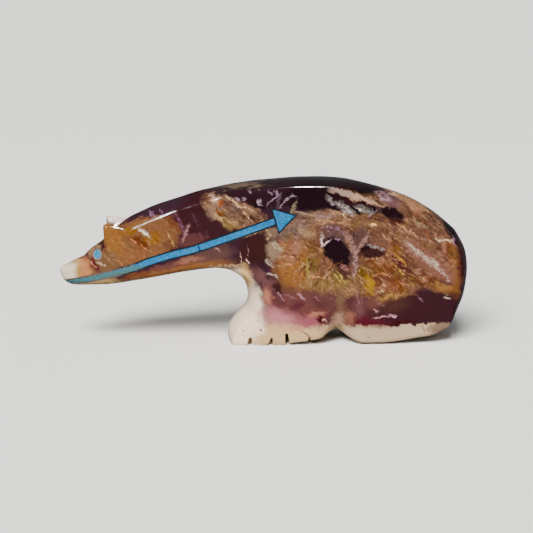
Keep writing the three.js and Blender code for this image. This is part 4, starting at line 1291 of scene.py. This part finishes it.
def cloudAt(tree, inMm, rate, detail):
    return node(tree, "TexNoise", {"Vector": inMm, "Scale": rate, "Detail": detail}).outputs["Fac"]


def layStains(tree, colour, where, stains, band, share=None):
    for what, paintName, *shape in stains:
        if reachesBand(shape, band):
            code = shell["paints"][paintName]
            colour = stain(tree, colour, where, asSeen(code), shape, share)
    return colour


def layClouds(tree, colour, cloud, part, clouds):
    for low, high, cover, code in clouds:
        laid = calc(tree, "MULTIPLY", ramp(tree, cloud, low, high, 0.0, cover), part)
        colour = mixColour(tree, laid, colour, asSeen(code))
    return colour


def growthStreaks(tree, side, flat):
    # slanted over most of the shell, with a part where they stand up and one where they lie
    slanted = splinters(tree, side, *shell["slanted"])
    upright = splinters(tree, side, *shell["upright"])
    level = splinters(tree, side, *shell["level"])
    uprightPart = patchMask(tree, flat, *shell["uprightPart"])
    levelPart = patchMask(tree, flat, *shell["levelPart"])
    streaks = node(tree, "Mix", {0: uprightPart, 2: slanted, 3: upright}).outputs[0]
    return node(tree, "Mix", {0: levelPart, 2: streaks, 3: level}).outputs[0]


def layCurls(tree, colour, inMm, ragged, grainy):
    curls = shell["curls"]
    cells = node(
        tree, "TexVoronoi", {"Vector": ragged, "Scale": curls["rate"]}, feature="DISTANCE_TO_EDGE"
    ).outputs["Distance"]
    line = ramp(tree, cells, *curls["line"])
    here = ramp(tree, cloudAt(tree, inMm, curls["placeRate"], 2.0), *curls["place"])
    laid = calc(tree, "MULTIPLY", calc(tree, "MULTIPLY", line, here), grainy)
    laid = calc(tree, "MULTIPLY", laid, curls["cover"])
    return mixColour(tree, laid, colour, asSeen(curls["colour"]))


def layStrokes(tree, colour, inMm, across, fine, band):
    # broken strokes, on the left flank only
    broken = ramp(tree, cloudAt(tree, inMm, 2.4, 2.0), 0.34, 0.62, 0.15, 0.85)
    left = calc(tree, "MULTIPLY", ramp(tree, across, 0.5, -2.0), broken)
    for what, code, *line in shell["strokes"]:
        first, last = sorted((line[0], line[2]))
        if last + shell["overlap"] > band[0] and first - shell["overlap"] < band[1]:
            colour = stain(tree, colour, fine, asSeen(code), strokeShape(*line), left)
    return colour


def shellLook(name, band):
    # one length of the shell: only the stains and strokes that reach into it are laid
    material, tree, shader = newMaterial(name)
    inMm, along, across, up = placesInMm(tree)
    leaning = ramp(tree, across, shell["leanFrom"], shell["leanTo"], 0.0, shell["lean"])
    along = calc(tree, "ADD", along, leaning)
    side = node(tree, "CombineXYZ", {0: along, 1: up, 2: across}).outputs[0]
    flat = node(tree, "VectorMath", {0: side, 1: (1, 1, 0)}, operation="MULTIPLY").outputs[0]
    brushed = layAlong(tree, side, *shell["slanted"][:3])
    shakes = shell["shakes"]
    fine = moved(tree, flat, inMm, *shakes["fine"])
    fine = moved(tree, fine, inMm, *shakes["broad"])
    ragged = moved(tree, fine, inMm, *shakes["wide"])
    ragged = moved(tree, ragged, brushed, *shakes["splintered"])
    colour = layStains(tree, asSeen(shell["ground"]), ragged, shell["stains"], band)

    # clouds of tint, streaks and curls, strongest in the gold parts
    golden = patchMask(tree, ragged, *shell["goldPart"])
    oval = patchMask(tree, ragged, *shell["ovalPart"])
    cheek = calc(tree, "MULTIPLY", patchMask(tree, ragged, *shell["cheekPart"]), shell["cheekGrain"])
    grainy = calc(tree, "MAXIMUM", calc(tree, "MAXIMUM", golden, oval), cheek)
    colour = layClouds(tree, colour, cloudAt(tree, inMm, 0.42, 3.0), golden, shell["clouds"])
    streaks = growthStreaks(tree, side, flat)
    colour = layClouds(tree, colour, streaks, grainy, shell["streaks"])
    colour = layCurls(tree, colour, inMm, ragged, grainy)
    colour = layStains(tree, colour, ragged, shell["overStains"], band)
    colour = layStrokes(tree, colour, inMm, across, fine, band)
    # the ear of the far side is white shell
    colour = layStains(tree, colour, fine, [shell["farEar"]], band, ramp(tree, across, 2.0, 3.0))

    # fine grain, and dust of handling above the soles
    grain = cloudAt(tree, inMm, shell["grainRate"], 5.0)
    plain, gold = shell["dulled"]
    dulled = node(tree, "Mix", {0: grainy, 2: plain, 3: gold}).outputs[0]
    plain, gold = shell["lifted"]
    lifted = node(tree, "Mix", {0: grainy, 2: plain, 3: gold}).outputs[0]
    tint = node(tree, "Mix", {0: ramp(tree, grain, 0.35, 0.65), 2: dulled, 3: lifted}).outputs[0]
    colour = node(tree, "VectorMath", {0: colour, "Scale": tint}, operation="SCALE").outputs[0]
    low = ramp(tree, up, *shell["dustUp"])
    dust = calc(tree, "MULTIPLY", low, ramp(tree, grain, *shell["dustGrain"]))
    dust = calc(tree, "MULTIPLY", dust, shell["dustCover"])
    colour = mixColour(tree, dust, colour, asSeen(shell["dust"]))
    tree.links.new(colour, shader.inputs["Base Color"])
    tree.links.new(ramp(tree, grain, 0.3, 0.75, *shell["roughness"]), shader.inputs["Roughness"])
    gloss = shell["gloss"]
    shader.inputs["Specular IOR Level"].default_value = gloss
    for loss, *shape in shell["dull"]:
        if reachesBand(shape, band):
            kept = ramp(tree, patchMask(tree, flat, *shape), 0.0, 1.0, 1.0, 1 - loss)
            gloss = calc(tree, "MULTIPLY", kept, gloss)
            tree.links.new(gloss, shader.inputs["Specular IOR Level"])

    # the polish follows the harder and softer streaks a little
    streakShare, grainShare = shell["reliefShares"]
    relief = calc(tree, "MULTIPLY", calc(tree, "MULTIPLY", streaks, grainy), streakShare)
    relief = calc(tree, "ADD", relief, calc(tree, "MULTIPLY", grain, grainShare))
    bumpFrom(tree, shader, relief, shell["relief"], shell["reliefDepth"])
    return material


stones = {
    "blue": "#175a82",
    "deepBlue": "#0e5078",
    "paleBlue": "#2b6985",
    "eyeBlue": "#24607a",
    "mouthShadeTeal": "#35504f",               # painted shade and dark reflection: the slip near the mouth, where it turns down, greyed to teal
    "mouthShadePart": (12, 30),            # mm along, from all painted shade to all blue
    "eyeAbove": (15, 14.4),          # mm up, the eye from the slip
    "eyeBefore": (10, 11),           # mm along, the eye from the rest
    "eyePaste": "#766860",
    "pasteShade": "#7c6c62",
    "pit": "#4a3428",
    "pitShade": "#221612",
    "gloss": 0.35,
    "roughness": (0.16, 0.34),
    "glue": "#0d0b10",
    "mouthGlue": "#5a463c",
    "thinGlue": (9, 15),             # mm along, from all brown to all dark
    "dirt": "#c4a88c",
    "deepDirt": "#93714f",
}


def turquoiseLook():
    material, tree, shader = newMaterial("turquoise")
    inMm, along, _, up = placesInMm(tree)
    cloud = cloudAt(tree, inMm, 0.9, 3.0)
    fleck = cloudAt(tree, inMm, 2.8, 4.0)
    clouded = ramp(tree, cloud, 0.4, 0.64)
    colour = mixColour(tree, clouded, paint(stones["blue"]), paint(stones["deepBlue"]))
    colour = mixColour(tree, ramp(tree, fleck, 0.54, 0.8, 0.0, 0.7), colour, paint(stones["paleBlue"]))
    # painted shade and dark reflection: the slip near the mouth turns down and is greyed to a mottled
    # teal, but not the eye above it
    mouthShadeEnds, mouthShadeFrom = stones["mouthShadePart"]
    eyeFrom, slipTo = stones["eyeAbove"]
    mouth = ramp(tree, along, mouthShadeFrom, mouthShadeEnds)
    mouth = calc(tree, "MULTIPLY", mouth, ramp(tree, up, eyeFrom, slipTo))
    mouthShade = calc(tree, "MULTIPLY", mouth, ramp(tree, cloud, 0.32, 0.55, 0.6, 1.0))
    colour = mixColour(tree, mouthShade, colour, paint(stones["mouthShadeTeal"]))
    faceEnds, faceFrom = stones["eyeBefore"]
    eyes = calc(tree, "MULTIPLY", ramp(tree, along, faceFrom, faceEnds), ramp(tree, up, slipTo, eyeFrom))
    eyes = calc(tree, "MULTIPLY", eyes, ramp(tree, fleck, 0.3, 0.6, 0.6, 1.0))
    colour = mixColour(tree, eyes, colour, paint(stones["eyeBlue"]))
    tree.links.new(colour, shader.inputs["Base Color"])
    tree.links.new(ramp(tree, fleck, 0.35, 0.7, *stones["roughness"]), shader.inputs["Roughness"])
    shader.inputs["Specular IOR Level"].default_value = stones["gloss"]
    bumpFrom(tree, shader, fleck, 0.3, 0.03)
    return material


def speckledLook(name, colourName, otherName, roughness):
    material, tree, shader = newMaterial(name)
    inMm = placesInMm(tree)[0]
    cloud = cloudAt(tree, inMm, 2.2, 4.0)
    colours = paint(stones[colourName]), paint(stones[otherName])
    colour = mixColour(tree, ramp(tree, cloud, 0.38, 0.62), *colours)
    tree.links.new(colour, shader.inputs["Base Color"])
    uneven = ramp(tree, cloud, 0.3, 0.7, roughness - 0.1, roughness + 0.1)
    tree.links.new(uneven, shader.inputs["Roughness"])
    bumpFrom(tree, shader, cloud, 0.4, 0.04)
    return material


def glueLook():
    # dark along the neck, brown and thin near the mouth
    material, tree, shader = newMaterial("dark_glue")
    inMm, along = placesInMm(tree)[:2]
    cloud = cloudAt(tree, inMm, 1.1, 3.0)
    near = calc(tree, "ADD", along, ramp(tree, cloud, 0.3, 0.7, -3.0, 3.0))
    thinEnds, thinFrom = stones["thinGlue"]
    thin = ramp(tree, near, thinFrom, thinEnds)
    colour = mixColour(tree, thin, paint(stones["glue"]), paint(stones["mouthGlue"]))
    tree.links.new(colour, shader.inputs["Base Color"])
    tree.links.new(ramp(tree, cloud, 0.3, 0.7, 0.3, 0.5), shader.inputs["Roughness"])
    bumpFrom(tree, shader, cloud, 0.4, 0.04)
    return material


def shellLooks():
    looks = []
    start = shell["bandsFrom"]
    for name, end in shell["bands"]:
        looks.append(shellLook(name, (start, end)))
        start = end
    return looks


def colourByBand(piece):
    # every face of the carved skin takes the material of its own length of the shell
    ends = [end for name, end in shell["bands"]]
    skin = [piece.data.materials.find(name) for name, end in shell["bands"]]
    for face in piece.data.polygons:
        if face.material_index in skin:
            along = face.center.x / mm + length / 2
            band = next(i for i, end in enumerate(ends) if along < end)
            face.material_index = skin[band]


shellSurfaces = shellLooks()
glueSurface = glueLook()
pasteSurface = speckledLook("eye_paste", "eyePaste", "pasteShade", 0.45)
pitSurface = speckledLook("pit_dirt", "pit", "pitShade", 0.8)
dirtSurface = speckledLook("cut_dirt", "dirt", "deepDirt", 0.75)
turquoiseSurface = turquoiseLook()
print("surfaces mixed")

points, quads = carveSkin()
print("skin carved:", len(points), "corners")
points = handPolish(points)
carved = newPiece("carved_bear", points, [tuple(q) for q in quads.tolist()], shellSurfaces)

# what hangs below the soles is sawn off
sawHalfLong, sawHalfWide, sawDeep = length, 2 * carving["thickness"], 10.0
below = newPiece(
    "below",
    [(x, y, z) for x in (-sawHalfLong, sawHalfLong) for y in (-sawHalfWide, sawHalfWide)
     for z in (-sawDeep, 0)],
    [(0, 1, 3, 2), (4, 6, 7, 5), (0, 4, 5, 1), (2, 3, 7, 6), (0, 2, 6, 4), (1, 5, 7, 3)],
    shellSurfaces,
)
cutWith(carved, below)
throwAway(below)
print("soles cut")

heartStart = heartCurve[0][0]
heartEnd = heartCurve[-1][0] - inlay["glueWidth"]
seam = alongBear(inlay["seam"])
uncut = carved.data.copy()


def onlyTurquoise(piece):
    piece.data.materials.clear()
    piece.data.materials.append(turquoiseSurface)
    piece.data.polygons.foreach_set("material_index", [0] * len(piece.data.polygons))


def setStone(name, nodeName, plug):
    # what the plug and the uncut bear share is the stone, flush with the flank
    stone = bpy.data.objects.new(name, uncut.copy())
    bpy.context.scene.collection.objects.link(stone)
    onlyTurquoise(stone)
    cutWith(stone, plug, "INTERSECT")
    onlyTurquoise(stone)
    throwAway(plug)
    roundShading(stone)
    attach(stone, "root")
    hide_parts(nodeName)


gap, sink, seat = inlay["glueWidth"], inlay["glueSink"], inlay["seatGap"]
wholeSlip = [("heartline_slip", heartStart, heartEnd)]
seamedSlip = [
    ("heartline_front_slip", heartStart, seam - gap / 3),
    ("heartline_rear_slip", seam + gap / 3, heartEnd),
]

for side, hand, slips in ((-1, "left", seamedSlip), (1, "right", wholeSlip)):
    for name, fromX, toX in slips:
        edges = slipEdges(fromX, toX, 0)
        plug = ribbonPlug("plug", *edges, side, inlay["slipDepth"], turquoiseSurface)
        setStone(f"{hand}_{name}_stone", f"{hand}_{name}", plug)
    plug = flankPlug("plug", arrowCorners(0), side, inlay["arrowDepth"], turquoiseSurface)
    setStone(f"{hand}_arrowhead_stone", f"{hand}_heartline_arrowhead", plug)
    plug = flankPlug("plug", eyeCorners(0), side, inlay["eyeDepth"], turquoiseSurface)
    setStone(f"{hand}_eye_stone", f"{hand}_eye", plug)

    # a shallow groove for the glue around each inlay, then the seat that the stone lies in
    groove = slipEdges(heartStart, heartEnd, gap)
    channel = slipEdges(heartStart, heartEnd, seat)
    cutters = [
        ribbonPlug("cut", *groove, side, sink, glueSurface),
        ribbonPlug("cut", *channel, side, inlay["slipDepth"] + seat, glueSurface),
        flankPlug("cut", arrowCorners(gap), side, sink, glueSurface),
        flankPlug("cut", arrowCorners(seat), side, inlay["arrowDepth"] + seat, glueSurface),
        flankPlug("cut", eyeCorners(inlay["pasteWidth"]), side, sink, pasteSurface),
        flankPlug("cut", eyeCorners(seat), side, inlay["eyeDepth"] + seat, pasteSurface),
    ]
    for cutter in cutters:
        cutWith(carved, cutter)
        throwAway(cutter)
print("inlays set")
cutFeet(carved)
print("feet cut:", len(carved.data.polygons), "faces in the shell")

colourByBand(carved)
roundShading(carved)
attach(carved, "root")
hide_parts("shell_bear")
